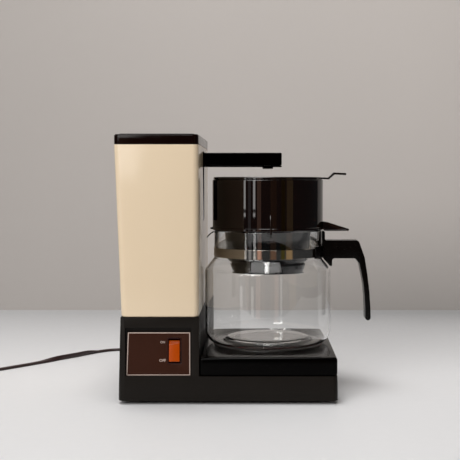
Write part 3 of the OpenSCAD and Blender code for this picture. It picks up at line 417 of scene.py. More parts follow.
def coil_points(step=15):
    """Bottom layer inwards, a step up, top layer outwards, clockwise."""
    points = []
    for turned_by in range(step, 2 * LAYER_SWEEP + STEP_SWEEP, step):
        inward = min(turned_by, LAYER_SWEEP, 2 * LAYER_SWEEP + STEP_SWEEP - turned_by)
        rise = min(1, max(0, (turned_by - LAYER_SWEEP) / STEP_SWEEP))
        radius = COIL_OUTER - TURN_PITCH * inward / 360
        angle = radians(COIL_START - turned_by)
        points.append((COIL_X + radius * cos(angle), COIL_Y + radius * sin(angle),
                       LOW_LAYER + (HIGH_LAYER - LOW_LAYER) * rise))
    return points


def smooth_line(points, steps=4):
    """A curve through the points, each stretch bent by its neighbours."""
    made = []
    for i in range(len(points) - 1):
        a, b, c, d = (points[min(max(j, 0), len(points) - 1)] for j in (i - 1, i, i + 1, i + 2))
        for s in (k / steps for k in range(steps)):
            made.append(tuple(0.5 * (2 * q + (r - p) * s + (2 * p - 5 * q + 4 * r - t) * s * s
                                     + (3 * q - p - 3 * r + t) * s ** 3) for p, q, r, t in zip(a, b, c, d)))
    return made + [points[-1]]


route = [Vector(p) for p in smooth_line(lead_points + coil_points() + tail_points)]

# %% Sweeping the lead
TWIST_START, TWIST_UP, TWIST_HELD, TWIST_END = 0.180, 0.222, 0.252, 0.306
CORE_OFFSET, CORE_RADIUS, OUTLINE_STEPS = 1.6, 1.7, 20


def eased_step(value, low, high):
    s = min(1, max(0, (value - low) / (high - low)))
    return s * s * (3 - 2 * s)


def lead_roll(along):
    """Turn of the flat lead about its own line, in degrees, at a distance in metres."""
    return 90 * eased_step(along, TWIST_START, TWIST_UP) + 90 * eased_step(along, TWIST_HELD, TWIST_END)


outline = []
for k in range(OUTLINE_STEPS):
    a = 2 * pi * (k + 0.5) / OUTLINE_STEPS
    side = CORE_OFFSET if cos(a) > 0 else -CORE_OFFSET
    outline.append((side + CORE_RADIUS * cos(a), CORE_RADIUS * sin(a)))

vertices, along, lead_path, distances = [], 0.0, [], []
for i, point in enumerate(route):
    heading = (route[min(i + 1, len(route) - 1)] - route[max(i - 1, 0)]).normalized()
    along += (point - route[i - 1]).length * mm if i else 0
    roll = radians(lead_roll(along))
    lifted = point + Vector((0, 0, (LEAD_WIDTH - LEAD_THICKNESS) / 2 * abs(sin(roll)) ** 2))
    sideways = Vector((0, 0, 1)).cross(heading).normalized()
    upwards = heading.cross(sideways)
    across = sideways * cos(roll) + upwards * sin(roll)
    over = upwards * cos(roll) - sideways * sin(roll)
    vertices += [(lifted + across * x + over * y) * mm for x, y in outline]
    lead_path.append(tuple(lifted * mm))
    distances.append(along)
count = len(outline)
faces = [(i * count + k, i * count + (k + 1) % count, (i + 1) * count + (k + 1) % count, (i + 1) * count + k)
         for i in range(len(route) - 1) for k in range(count)]
faces += [tuple(reversed(range(count))), tuple(range((len(route) - 1) * count, len(route) * count))]
lead_mesh = bpy.data.meshes.new("mains_lead")
lead_mesh.from_pydata(vertices, [], faces)
mains_lead = bpy.data.objects.new("mains_lead", lead_mesh)
bpy.context.scene.collection.objects.link(mains_lead)
only(mains_lead)
bpy.ops.object.mode_set(mode="EDIT")
bpy.ops.mesh.select_all(action="SELECT")
bpy.ops.mesh.normals_make_consistent(inside=False)
bpy.ops.object.mode_set(mode="OBJECT")
smoothed(mains_lead, 50)
print("lead swept,", len(faces), "faces")

# %% [markdown]
# The boot round the lead is a soft tapered sleeve. It is turned on the lathe about its own line, and
# its flange sits against the back of the base. Grooves round it let the real one bend.

# %% Boot, tie and plug
BOOT_X, BOOT_Z, BOOT_LENGTH = -112, 16, 35
back_y = base_high.y


def boot_outline():
    """Radius and distance from the back wall: flange, then ribs that get thinner."""
    points = [(0, 0.05), (8.6, 0.05)] + arc(8.2, 1.7, 0.8, 0, 90, 4) + [(6.4, 2.6)]
    ribs = 7
    pitch = (BOOT_LENGTH - 6) / ribs
    for rib in range(ribs):
        start = 4 + rib * pitch
        radius = 6 - 1.5 * rib / ribs
        points += [(radius - 0.9, start), (radius - 0.9, start + 1.1), (radius, start + 1.5),
                   (radius - 0.15, start + pitch - 0.2)]
    return points + [(4.4, BOOT_LENGTH + 1.6), (4.0, BOOT_LENGTH + 2.5), (0, BOOT_LENGTH + 2.5)]


lead_boot = turned("lead_boot", boot_outline(), steps=48, centre=0, angle=35)
only(lead_boot)
lead_boot.rotation_euler = (radians(-90), 0, 0)
lead_boot.location = Vector((BOOT_X, back_y, BOOT_Z)) * mm
settled(lead_boot)

PLUG_X, PLUG_Y, PLUG_LENGTH, PLUG_WIDTH, PLUG_HEIGHT = -429, 140, 30, 21, 13
PLUG_NECK, NECK_STEP = 8, 2.5


def picked_faces(obj, wanted):
    """Selects the faces whose centre and normal pass the test; obj is in edit mode afterwards."""
    only(obj)
    bpy.ops.object.mode_set(mode="EDIT")
    bpy.ops.mesh.select_all(action="DESELECT")
    bpy.ops.object.mode_set(mode="OBJECT")
    for face in obj.data.polygons:
        face.select = bool(wanted(face.center / mm, face.normal))
    bpy.ops.object.mode_set(mode="EDIT")
    bpy.ops.mesh.select_mode(type="FACE")


plug_shell = block("plug_shell", (PLUG_X - PLUG_WIDTH / 2, PLUG_Y + PLUG_NECK, 0.1),
                   (PLUG_X + PLUG_WIDTH / 2, PLUG_Y + PLUG_LENGTH, PLUG_HEIGHT))
picked_faces(plug_shell, lambda c, n: n.y < -0.9)
bpy.ops.mesh.extrude_region_move(TRANSFORM_OT_translate={"value": (0, -NECK_STEP * mm, 0)})
bpy.ops.transform.resize(value=(0.72, 1, 0.8), center_override=Vector((PLUG_X, PLUG_Y, 6.5)) * mm)
bpy.ops.mesh.extrude_region_move(TRANSFORM_OT_translate={"value": (0, (NECK_STEP - PLUG_NECK) * mm, 0)})
bpy.ops.transform.resize(value=(0.55, 1, 0.75), center_override=Vector((PLUG_X, PLUG_Y, 6.5)) * mm)
bpy.ops.object.mode_set(mode="OBJECT")
eased(plug_shell, 1.6, 4)

BLADE_GAP, BLADE_LENGTH, BLADE_THICKNESS, BLADE_HEIGHT = 12.7, 17, 1.5, 6.3
blades = []
for side in (-1, 1):
    x = PLUG_X + side * BLADE_GAP / 2
    y, z = PLUG_Y + PLUG_LENGTH, PLUG_HEIGHT / 2
    blade = block("blade", (x - BLADE_THICKNESS / 2, y, z - BLADE_HEIGHT / 2),
                  (x + BLADE_THICKNESS / 2, y + BLADE_LENGTH, z + BLADE_HEIGHT / 2))
    hole = peg("hole", (x - 2, y + BLADE_LENGTH - 5, z), 1.5, 4, 24, (1, 0, 0))
    blades.append(eased(carved(blade, hole), 0.25, 2))
plug_blades = joined("plug_blades_pair", *blades)

TIE_LOW, TIE_TOP, TIE_UNDER, TIE_WIDTH = 0.2, 8.0, 7.1, 6
TIE_OUTER, TIE_INNER = (COIL_OUTER + 3.7, COIL_OUTER + 4.9), (27.9, 29)
coil_tie = cut_from("lead_tie", [(TIE_OUTER[0], TIE_LOW), (TIE_OUTER[1], TIE_LOW), (TIE_OUTER[1], TIE_TOP),
                                 (TIE_INNER[0], TIE_TOP), (TIE_INNER[0], TIE_LOW), (TIE_INNER[1], TIE_LOW),
                                 (TIE_INNER[1], TIE_UNDER), (TIE_OUTER[0], TIE_UNDER)], TIE_WIDTH)
eased(coil_tie, 0.35, 2)
coil_tie.rotation_euler = (0, 0, radians(90))
coil_tie.location = Vector((COIL_X, COIL_Y, 0)) * mm
settled(coil_tie)
print("boot, plug and tie shaped")

# %% [markdown]
# The finishes. Every moulded part has a little unevenness: its colour drifts by a few per cent, its
# gloss changes in soft patches, and its skin has a fine grain. One recipe mixes them all, and each
# part of the machine states its own colour, gloss and grain.

# %% Moulded plastic
DULL = {"Specular_IOR_Level": 0.25}
DEEP = {"Specular_IOR_Level": 0.16}
BLACK = {"Specular_IOR_Level": 0.05}


def moulded(name, colour, gloss_low, gloss_high, grain=0.0, grain_scale=900, drift=0.06, **fixed):
    """Plastic whose colour drifts, whose roughness wanders and whose skin may be grained."""
    finish = Finish(name, **fixed)
    patches = finish.noise(14, 4)
    tint = finish.mix(finish.spread(patches, 0.3, 0.7), shade(colour, 1 - drift), shade(colour, 1 + drift))
    wander = finish.noise(45, 5, 0.6)
    roughness = finish.spread(wander, 0.3, 0.7, gloss_low, gloss_high)
    waviness = finish.noise(6, 1)
    height = waviness * 0.3
    if grain:
        height = height + finish.noise(grain_scale, 2, 0.7) * grain
    return finish.feed(Base_Color=tint, Roughness=roughness, Normal=finish.bump(height, 0.35, 0.0006))


cream = moulded("cream_shell", screen(229, 209, 180), 0.11, 0.14, grain=0.004, drift=0.006, **DULL)
brown_base = moulded("brown_base", screen(25, 21, 17), 0.40, 0.52, grain=0.12, drift=0.10, **DEEP)
black_gloss = moulded("black_brown_gloss", screen(6, 3, 1), 0.10, 0.15, grain=0.004, drift=0.12, **BLACK)
cap_gloss = moulded("cap_gloss", screen(24, 13, 10), 0.10, 0.16, grain=0.004, drift=0.10, **DEEP)
basket_gloss = moulded("basket_gloss", screen(21, 12, 9), 0.012, 0.03, drift=0.10, IOR=1.5)
handle_satin = moulded("handle_satin", screen(9, 5, 3), 0.22, 0.32, grain=0.03, drift=0.10, **DEEP)
panel_paint = moulded("panel_paint", screen(54, 27, 13), 0.35, 0.45, grain=0.03, drift=0.05, **DEEP)
line_paint = moulded("line_paint", screen(192, 172, 162), 0.45, 0.55, grain=0.02, drift=0.03)
rocker_orange = moulded("rocker_orange", screen(168, 68, 1), 0.18, 0.26, drift=0.05, **DULL)
switch_frame = moulded("switch_frame", screen(42, 12, 7), 0.25, 0.35, drift=0.08, **DULL)
white_plastic = moulded("white_plastic", screen(226, 222, 214), 0.35, 0.45, grain=0.02, drift=0.02)
black_plastic = moulded("black_plastic", screen(28, 27, 26), 0.40, 0.55, grain=0.05, drift=0.10)
foot_rubber = moulded("foot_rubber", screen(30, 29, 28), 0.70, 0.85, grain=0.25, grain_scale=1400, drift=0.15)
lead_brown = moulded("lead_brown", screen(46, 29, 28), 0.30, 0.42, grain=0.04, drift=0.08)
milky_silicone = moulded("milky_silicone", screen(212, 206, 194), 0.35, 0.50, grain=0.02, drift=0.03)
red_silicone = moulded("red_silicone", screen(120, 30, 24), 0.50, 0.60, grain=0.04, drift=0.06)
wire_brown = moulded("wire_brown", screen(110, 70, 48), 0.35, 0.45, drift=0.05)
fuse_weave = moulded("fuse_weave", screen(205, 195, 165), 0.75, 0.9, grain=0.5, grain_scale=1800, drift=0.08)
print("plastics mixed")

# %% [markdown]
# Metal is mixed apart, because its look is in its gloss. The neck band is bright steel drawn in one
# direction, so its roughness runs in long streaks round it. Screws and pipes are duller.

# %% Metals
def metal(name, colour, rough_low, rough_high, streak):
    """Bare metal with fine streaks across the stretched direction."""
    finish = Finish(name, Metallic=1.0)
    lines = finish.noise(3, 3, 0.6, finish.stretched(*streak))
    tint = finish.mix(finish.spread(lines, 0.3, 0.7), shade(colour, 0.92), shade(colour, 1.04))
    roughness = finish.spread(lines, 0.3, 0.7, rough_low, rough_high)
    return finish.feed(Base_Color=tint, Roughness=roughness, Normal=finish.bump(lines, 0.08, 0.0002))


band_steel = metal("band_steel", screen(196, 190, 182), 0.05, 0.09, (14, 14, 900))
screw_steel = metal("screw_steel", screen(190, 190, 188), 0.3, 0.42, (300, 300, 300))
tube_aluminium = metal("tube_aluminium", screen(205, 206, 208), 0.3, 0.45, (200, 200, 200))
brass = metal("brass", screen(214, 186, 120), 0.18, 0.3, (400, 60, 400))


def plate_coat():
    """Dark coat of the hotplate, rubbed a little brighter in rings by the jug's foot."""
    finish = Finish("plate_coat")
    centred = finish.node("ShaderNodeMapping", {}, {"Vector": finish.place, "Location": (-axis_x * mm, 0, 0)})
    flat = finish.node("ShaderNodeVectorMath", {"operation": "MULTIPLY"}, {0: centred, 1: (1, 1, 0)})
    radius = finish.node("ShaderNodeVectorMath", {"operation": "LENGTH"}, {0: flat}, "Value")
    rubbed = finish.spread(radius, 0.054, 0.058) * (1 - finish.spread(radius, 0.060, 0.062))
    worn = rubbed * finish.spread(finish.noise(260, 3), 0.35, 0.65)
    tint = finish.mix(worn, screen(52, 48, 45), screen(96, 92, 88))
    speck = finish.noise(1500, 2)
    return finish.feed(Base_Color=tint, Roughness=finish.spread(speck, 0.3, 0.7, 0.28, 0.42),
                       Normal=finish.bump(speck, 0.2, 0.0002))


plate_dark = plate_coat()
print("metals mixed")

# %% [markdown]
# The jug is thin clear glass. Light passes it, so transmission is full and the roughness is zero;
# blown glass is never quite even, and a very slow bump lets the reflections waver.

# %% Glass
def clear_glass():
    finish = Finish("jug_glass_clear", Transmission_Weight=1.0, Roughness=0.0, IOR=1.47)
    slow = finish.noise(9, 1)
    tint = finish.mix(slow, (0.985, 0.99, 0.985, 1), (1.0, 1.0, 1.0, 1))
    return finish.feed(Base_Color=tint, Normal=finish.bump(slow, 0.12, 0.0015))


jug_clear = clear_glass()


def lamp_glass():
    finish = Finish("lamp_glass", Roughness=0.1, Transmission_Weight=0.6)
    glow = finish.noise(300, 2)
    return finish.feed(Base_Color=finish.mix(glow, screen(230, 150, 90), screen(240, 170, 110)))


neon_glass = lamp_glass()
print("glass mixed")

# %% [markdown]
# The lead rides with the machine's body, and stands for the three solids that hold its place in the frame.

# %% Lead placed
MACHINE = "machine"
placed(lead_boot, MACHINE, lead_brown, "cord_brown", "strain_relief")
placed(plug_shell, MACHINE, lead_brown, "cord_brown", "plug_body")
placed(plug_blades, MACHINE, brass, "plug_brass", "plug_blades")
placed(coil_tie, MACHINE, black_plastic, "black_plastic", "coil_tie")
placed(mains_lead, MACHINE, lead_brown, "cord_brown", "cord_lead", "cord_coil", "cord_tail")

# %% [markdown]
# The base, the covers and the cap of the tower already have their right shape in the frame. A mould
# never leaves a knife edge, so each gets a merged copy whose edges are eased by a quarter to four
# fifths of a millimetre; the small bright line along an edge comes from that radius.

# %% Housing, cap and covers
for node, name, radius, steps, body, finish, slot in (
        ("base_housing", "base_housing_eased", 0.8, 3, MACHINE, brown_base, "brown_housing"),
        ("bottom_cover", "bottom_cover_eased", 0.3, 2, MACHINE, brown_base, "brown_housing"),
        ("rear_cover", "rear_cover_eased", 0.6, 3, MACHINE, brown_base, "brown_housing"),
        ("tower_lid", "tower_cap_eased", 0.8, 3, "tower_lid", cap_gloss, "black_brown_gloss"),
        ("arm_root_plate", "arm_root_trough", 0.25, 2, MACHINE, black_gloss, "black_brown_gloss")):
    placed(cased(node, name, radius, steps), body, finish, slot, node)

# %% [markdown]
# The cream shell of the tower is shaped anew, because its foot has a wide soft edge. It starts as a
# cube, the top of its left side is pushed out, the uprights and the foot are bevelled in edit mode,
# and then the room inside, the open back and the arm's seat are cut out.

# %% Tower shell
CORNER, SHELL_WALL, FOOT_EDGE = 7, 2.5, 2.4
POST, POST_LENGTH, SLOT_DEPTH, ARM_WIDTH = 4, 10, 1.9, 28
CONSOLE_LEAN, FOOT_STEP = 0.035, 0.4
tower_foot_left = base_low.x + CONSOLE_LEAN * (shell_low.z - base_low.z) + FOOT_STEP
seam_y = shell_high.y


def leaning(name, inset, low_z, high_z, back):
    """A box whose left side leans out like the tower's, pulled in by an inset."""
    lean = (tower_foot_left - shell_low.x) / (shell_high.z - shell_low.z)
    box = block(name, (tower_foot_left + inset, shell_low.y + inset, low_z),
                (shell_high.x - inset, back, high_z))
    for vertex in box.data.vertices:
        if vertex.co.x / mm < tower_foot_left + inset + 1:
            vertex.co.x -= lean * (vertex.co.z - shell_low.z * mm)
    return box


def edges_bevelled(obj, wanted, radius, steps):
    """Rounds the edges whose middle and direction pass the test."""
    only(obj)
    bpy.ops.object.mode_set(mode="EDIT")
    bpy.ops.mesh.select_mode(type="EDGE")
    bpy.ops.mesh.select_all(action="DESELECT")
    bpy.ops.object.mode_set(mode="OBJECT")
    for edge in obj.data.edges:
        a, b = (obj.data.vertices[i].co for i in edge.vertices)
        edge.select = bool(wanted((a + b) / 2 / mm, (b - a).normalized()))
    bpy.ops.object.mode_set(mode="EDIT")
    bpy.ops.mesh.bevel(offset=radius * mm, segments=steps, profile=0.5)
    bpy.ops.object.mode_set(mode="OBJECT")
    return obj


tower = leaning("tower_shell_eased", 0, shell_low.z, shell_high.z, seam_y + CORNER)
edges_bevelled(tower, lambda m, d: abs(d.z) > 0.9 and m.y < 0, CORNER, 8)
edges_bevelled(tower, lambda m, d: abs(m.z - shell_low.z) < 0.1 and m.y < seam_y, FOOT_EDGE, 5)
edges_bevelled(tower, lambda m, d: abs(m.z - shell_high.z) < 0.1 and m.y < seam_y, 0.5, 3)
cavity = leaning("cavity", SHELL_WALL, shell_low.z - 5, shell_high.z + 5, seam_y + 20)
edges_bevelled(cavity, lambda m, d: abs(d.z) > 0.9 and m.y < 0, CORNER - SHELL_WALL, 8)
slot_low = reach("arm_root_plate")[0].z
carved(tower, cavity, block("behind", (-400, seam_y, 0), (400, seam_y + 40, 400)),
       block("tongue_way", (shell_high.x - SHELL_WALL - 1, 2 - ARM_WIDTH / 2, arm_low.z + 2),
             (shell_high.x + 1, ARM_WIDTH / 2 - 2, arm_low.z + 15)),
       block("root_slot", (shell_high.x - SLOT_DEPTH, -ARM_WIDTH / 2, slot_low),
             (shell_high.x + 1, ARM_WIDTH / 2, arm_low.z)))
posts = []
for spot in centres("rear_screws", 30):
    post = peg("post", (spot.x, seam_y - POST_LENGTH, spot.z), POST, POST_LENGTH, 32, (0, 1, 0))
    bore = peg("bore", (spot.x, seam_y - POST_LENGTH + 1, spot.z), 1.4, 20, 20, (0, 1, 0))
    posts.append(carved(post, bore))
tower = smoothed(joined("tower_shell_eased", tower, *posts), 30)
placed(tower, MACHINE, cream, "cream", "tower_shell")

# %% [markdown]
# The block round the hotplate is one glossy moulding with a round well. It starts as a cube; its top
# edges are rounded wide, and then the well, the ledge for the seal and the hollow below are carved.

# %% Hotplate block
surround_low, surround_high = reach("hotplate_surround")
plate_radius = (plate_high.x - plate_low.x) / 2
WELL_PLAY, LEDGE_WIDTH, LEDGE_TOP = 1.0, 4.0, 6.0
hotplate_block = block("hotplate_block", surround_low, surround_high)
eased(hotplate_block, 3.2, 6)
well = peg("well", (axis_x, 0, surround_high.z - LEDGE_TOP), plate_radius + WELL_PLAY, 20, 96)
through = peg("through", (axis_x, 0, surround_low.z - 5), plate_radius - LEDGE_WIDTH, 40, 96)
hollow = block("hollow", (surround_low.x - 5, surround_low.y + 4, surround_low.z - 5),
               (surround_high.x - 4, surround_high.y - 4, surround_high.z - 9))
carved(hotplate_block, well, through, hollow)
with_modifier(hotplate_block, "BEVEL", width=0.5 * mm, segments=2, limit_method="ANGLE",
              angle_limit=radians(60))
smoothed(hotplate_block, 35)
placed(hotplate_block, MACHINE, black_gloss, "black_brown_gloss", "hotplate_surround")

# %% [markdown]
# The hotplate is a pressed steel disc: flat on top, with a rolled edge and a short skirt. A shallow
# ring is pressed into it, where the jug's foot stands.

# %% Hotplate and seal
top, low = plate_high.z, plate_low.z
RING_IN, RING_OUT, RIM_ROLL, SHEET = 53.5, 61.5, 1.2, 1.6
skirt = plate_radius - 1.3
plate_outline = [(0, top), (RING_IN - 1, top)] + arc(RING_IN, top - 0.5, 0.5, 90, 150, 3) + \
    arc(RING_OUT, top - 0.5, 0.5, 30, 90, 3) + [(plate_radius - RIM_ROLL, top)] + \
    arc(plate_radius - RIM_ROLL, top - RIM_ROLL, RIM_ROLL, 90, 0, 5) + \
    [(plate_radius, low), (skirt, low), (skirt, top - SHEET), (0, top - SHEET)]
hotplate_disc = turned("hotplate_disc", plate_outline, 128)
placed(hotplate_disc, MACHINE, plate_dark, "plate_coating", "hotplate")
placed(cased("hotplate_seal", "hotplate_seal_ring", 0.12), MACHINE, red_silicone, "seal_silicone",
       "hotplate_seal")

# %% [markdown]
# Four rubber feet and the screws repeat, so each kind is shaped once and copied to its places. A foot
# is turned with a rounded rim and a dished sole. A screw head has a cross pressed into it.

# %% Copies of one shape
def copied(shape, name, shifts):
    """The shape at several places, as one piece; every copy has its own mesh."""
    made = []
    for dx, dy, dz in shifts:
        twin = shape.copy()
        twin.data = shape.data.copy()
        bpy.context.scene.collection.objects.link(twin)
        twin.location = Vector((dx, dy, dz)) * mm
        made.append(settled(twin))
    bpy.data.objects.remove(shape)
    return joined(name, *made)


FOOT_RADIUS, FOOT_HEIGHT = 7, 4
foot_low, foot_high = reach("rubber_feet")
foot_outline = [(0, 0.6), (3.6, 0.6), (4.2, 0)] + arc(FOOT_RADIUS - 1.2, 1.2, 1.2, -90, 0, 4) + \
    [(FOOT_RADIUS, FOOT_HEIGHT - 0.05), (3, FOOT_HEIGHT - 0.05), (3, foot_high.z - 0.5), (0, foot_high.z)]
foot = turned("foot", foot_outline, 40, centre=0)
foot_places = [(x, y, 0) for x in (foot_low.x + FOOT_RADIUS, foot_high.x - FOOT_RADIUS)
               for y in (foot_low.y + FOOT_RADIUS, foot_high.y - FOOT_RADIUS)]
placed(copied(foot, "rubber_feet_set", foot_places), MACHINE, foot_rubber, "rubber", "rubber_feet")


def screw_head(name, radius, height):
    """A pan head with a cross in it; it looks down, its top at zero."""
    outline = [(0, 0), (radius - 0.5, 0)] + arc(radius - 0.5, 0.5, 0.5, -90, 0, 3) + \
        [(radius, height), (0, height)]
    head = turned(name, outline, 32, centre=0)
    bars = [block("bar", (-radius * 0.55, -0.35, -1), (radius * 0.55, 0.35, 0.7)),
            block("bar", (-0.35, -radius * 0.55, -1), (0.35, radius * 0.55, 0.7))]
    return carved(head, *bars)


print("feet set,", len(foot_places))

# %% Screws
SCREW_HEAD, SCREW_BODY = 3.2, 1.35


def screw_set(name, node):
    """Heads and shanks of upright screws, at the centres of the node's solids."""
    made = []
    low_z, high_z = reach(node)[0].z, reach(node)[1].z
    for spot in centres(node, 8):
        head = screw_head("head", SCREW_HEAD, 1.2)
        head.location = Vector((spot.x, spot.y, low_z)) * mm
        shank = peg("shank", (spot.x, spot.y, low_z + 1), SCREW_BODY, high_z - low_z - 1.2, 20)
        made += [settled(head), eased(shank, 0.3, 2)]
    return joined(name, *made)


for node in ("cover_screws", "surround_screws"):
    placed(screw_set(node + "_set", node), MACHINE, screw_steel, "screw_steel", node)
rear_made = []
rear_low, rear_high = reach("rear_screws")
for spot in centres("rear_screws", 30):
    head = screw_head("head", SCREW_HEAD, 1.4)
    head.rotation_euler = (radians(-90), 0, radians(180))
    head.location = Vector((spot.x, rear_high.y, spot.z)) * mm
    shank = peg("shank", (spot.x, rear_low.y, spot.z), SCREW_BODY, rear_high.y - rear_low.y - 1, 20,
                (0, 1, 0))
    rear_made += [settled(head), eased(shank, 0.3, 2)]
rear_set = joined("rear_screws_set", *rear_made)
placed(rear_set, MACHINE, screw_steel, "screw_steel", "rear_screws")

# %% [markdown]
# The spout arm is a slim glossy bar over the basket. It grows out of the tower through a thin collar,
# and a plate closes it from below. Hot water falls from the short nub under its end.

# %% Spout arm
arm_top, arm_bottom = arm_high.z, reach("arm_cover")[0].z
cover_top = reach("arm_cover")[1].z
ARM_HALF, COLLAR, COLLAR_RISE, CHANNEL, ARM_SIDE = ARM_WIDTH / 2, 1.6, 1.3, 4.3, 2
channel_z = (arm_bottom + arm_top - COLLAR_RISE) / 2
arm_bar = block("arm_bar", (arm_low.x + 0.5, -ARM_HALF, cover_top),
                (arm_high.x, ARM_HALF, arm_top - COLLAR_RISE))
picked_faces(arm_bar, lambda c, n: n.x > 0.9)
bpy.ops.mesh.inset(thickness=2 * mm)
bpy.ops.object.mode_set(mode="OBJECT")
eased(arm_bar, 1.4, 4)
trims = [block("trim", (arm_low.x - 5, side * ARM_HALF - ARM_SIDE, arm_bottom),
               (shell_high.x, side * ARM_HALF + ARM_SIDE, arm_top + 5)) for side in (-1, 1)]
trims += [block("trim", (arm_low.x - 5, -30, z), (shell_high.x, 30, z + 6))
          for z in (cover_top - 6, arm_top - 3.3)]
hollow = block("hollow", (shell_high.x + 3, ARM_SIDE - ARM_HALF, cover_top - 5),
               (arm_high.x - 2.4, ARM_HALF - ARM_SIDE, arm_top - 3.4))
channel = peg("channel", (arm_low.x - 5, 0, channel_z), CHANNEL, 30, 32, (1, 0, 0))
carved(arm_bar, *trims, hollow, channel)
collar = eased(block("collar", (shell_high.x, -ARM_HALF - 1, arm_bottom),
                     (shell_high.x + COLLAR, ARM_HALF + 1, arm_top)), 0.5, 3)
carved(collar, peg("channel", (shell_high.x - 5, 0, channel_z), CHANNEL, 20, 32, (1, 0, 0)))
spout_arm = smoothed(joined("spout_arm_bar", arm_bar, collar), 40)
placed(spout_arm, MACHINE, black_gloss, "black_brown_gloss", "spout_arm")

arm_plate = block("arm_plate", (shell_high.x + COLLAR + 0.1, -ARM_HALF, arm_bottom),
                  (arm_high.x, ARM_HALF, cover_top - 0.15))
eased(arm_plate, 0.7, 3)
nozzle_low, nozzle_high = reach("outlet_nozzle")
nozzle_x = (nozzle_low.x + nozzle_high.x) / 2
NOZZLE_BORE, NOZZLE_SEAT = 3, 5.15
carved(arm_plate, peg("seat", (nozzle_x, 0, arm_bottom - 5), NOZZLE_SEAT, 20, 48))
placed(smoothed(arm_plate), MACHINE, black_gloss, "black_brown_gloss", "arm_cover")
nozzle_radius = (nozzle_high.x - nozzle_low.x) / 2
bottom, seat_top = nozzle_low.z, nozzle_high.z
nozzle_outline = [(NOZZLE_BORE, bottom + 0.4), (NOZZLE_BORE + 0.4, bottom)] + \
    [(nozzle_radius - 1.2, bottom)] + arc(nozzle_radius - 1, bottom + 1, 1, -90, 0, 4) + \
    [(nozzle_radius, arm_bottom), (5.1, arm_bottom), (5.1, seat_top), (4, seat_top), (4, arm_bottom + 0.2),
     (NOZZLE_BORE, arm_bottom + 0.2)]
nozzle = turned("outlet_nub", nozzle_outline, 48, centre=nozzle_x, closed=True)
placed(nozzle, MACHINE, black_gloss, "black_brown_gloss", "outlet_nozzle")

# %% [markdown]
# The control plate is a thin painted sheet with a pale line round it. ON and OFF are printed beside
# the switch. They are text turned into mesh, a tenth of a millimetre thick.

# %% Control plate and words
placed(cased("control_plate", "control_plate_sheet", 0.25), MACHINE, panel_paint, "panel_brown",
       "control_plate")
placed(cased("plate_border", "plate_border_line", 0.12), MACHINE, line_paint, "panel_line", "plate_border")
panel_face = reach("control_plate")[0].y
WORD_DEPTH = 0.1


def printed(word, left, right, bottom):
    """A printed word, as wide as asked, standing on the plate."""
    pick_none()
    bpy.ops.object.text_add()
    obj = bpy.context.object
    obj.data.body = word
    obj.data.extrude = 0.02
    obj.data.offset = 0.012
    bpy.ops.object.convert(target="MESH")
    obj.name = "word_" + word.lower()
    width = obj.dimensions.x
    size = (right - left) * mm / width
    start = min(v.co.x for v in obj.data.vertices)
    obj.scale = (size, size, WORD_DEPTH * mm / 0.04)
    obj.rotation_euler = (radians(90), 0, 0)
    obj.location = (left * mm - start * size, (panel_face - WORD_DEPTH / 2) * mm, bottom * mm)
    return settled(obj)


for word, left, right, bottom in (("ON", -96.8, -91.8, 68.2), ("OFF", -98.0, -90.7, 47.4)):
    placed(printed(word, left, right, bottom), MACHINE, line_paint, "panel_line")

# %% [markdown]
# The switch is a dark red frame round a see-through orange rocker. The rocker has two flat faces
# that meet in a ridge, and it turns on two small pins in the frame.

# %% Switch
switch_frame_piece = cased("switch_body", "switch_frame_piece", 0.35, 3)
placed(switch_frame_piece, MACHINE, switch_frame, "switch_red_brown", "switch_body")
rocker_low, rocker_high = reach("rocker")
joint = next(j for j in frame["joints"] if j["name"] == "rocker_tilt")
pivot = Vector(joint["pos_m"]) / mm
ROCKER_WIDTH, PIN_RADIUS = 11.8, 1.45
half = 11.8
side_view = [(-9.7, -half + 0.3), (-9.5, -half + 1.6), (-7.7, half - 4.2), (-4.6, half - 0.2),
             (0.6, half - 1.5), (2, 4), (2, -4), (0.6, -half + 1.5), (-7.6, -half + 0.1)]
left_x = pivot.x - ROCKER_WIDTH / 2
rocker_shape = drawn("rocker_cap", [(left_x, pivot.y + y, pivot.z + z) for y, z in side_view])
bpy.ops.mesh.select_all(action="SELECT")
bpy.ops.mesh.edge_face_add()
bpy.ops.mesh.extrude_region_move(TRANSFORM_OT_translate={"value": (ROCKER_WIDTH * mm, 0, 0)})
sewn(rocker_shape)
eased(rocker_shape, 0.5, 3, 15)
pins = peg("pins", (rocker_low.x, pivot.y, pivot.z), PIN_RADIUS, rocker_high.x - rocker_low.x, 24, (1, 0, 0))
rocker_cap = joined("rocker_cap", rocker_shape, pins)
placed(smoothed(rocker_cap, 25), "switch_rocker", rocker_orange, "rocker_orange", "rocker")
print("switch done")

# %% [markdown]
# The jug is one turned wall of glass: out along the foot, up the belly, over the shoulder and the
# rim, and back down inside. Its foot is pressed up a little in the middle. At the left a small
# tongue is bent out of the rim for pouring, and is joined to the wall by a union.

# %% Glass jug
WALL, BAND_WALL = 2.2, 0.6
BELLY = glass_high.x - axis_x
NECK = axis_x - band_low.x - BAND_WALL
FOOT_FILLET, SHOULDER, RING, FOOT_RISE = 16, 8, 55, 6
foot_z, rim_z = glass_low.z, glass_high.z
shoulder_z, neck_z = foot_z + 86, foot_z + 103.5


def wall_side(inset):
    """One face of the glass from the foot's ring to the neck; inset is its depth in the wall."""
    return [(RING, foot_z + inset)] + \
        arc(BELLY - FOOT_FILLET, foot_z + FOOT_FILLET, FOOT_FILLET - inset, -90, 0, 12) + \
        arc(BELLY - SHOULDER, shoulder_z, SHOULDER - inset, 0, 45, 6) + \
        arc(NECK + 3.4 - inset * 0.5, neck_z + 0.6, 3.4 + inset * 0.5, 225, 180, 6)


outer, inner = wall_side(0), wall_side(WALL)
rim = arc(NECK - WALL / 2, rim_z - WALL / 2, WALL / 2, 0, 180, 8)


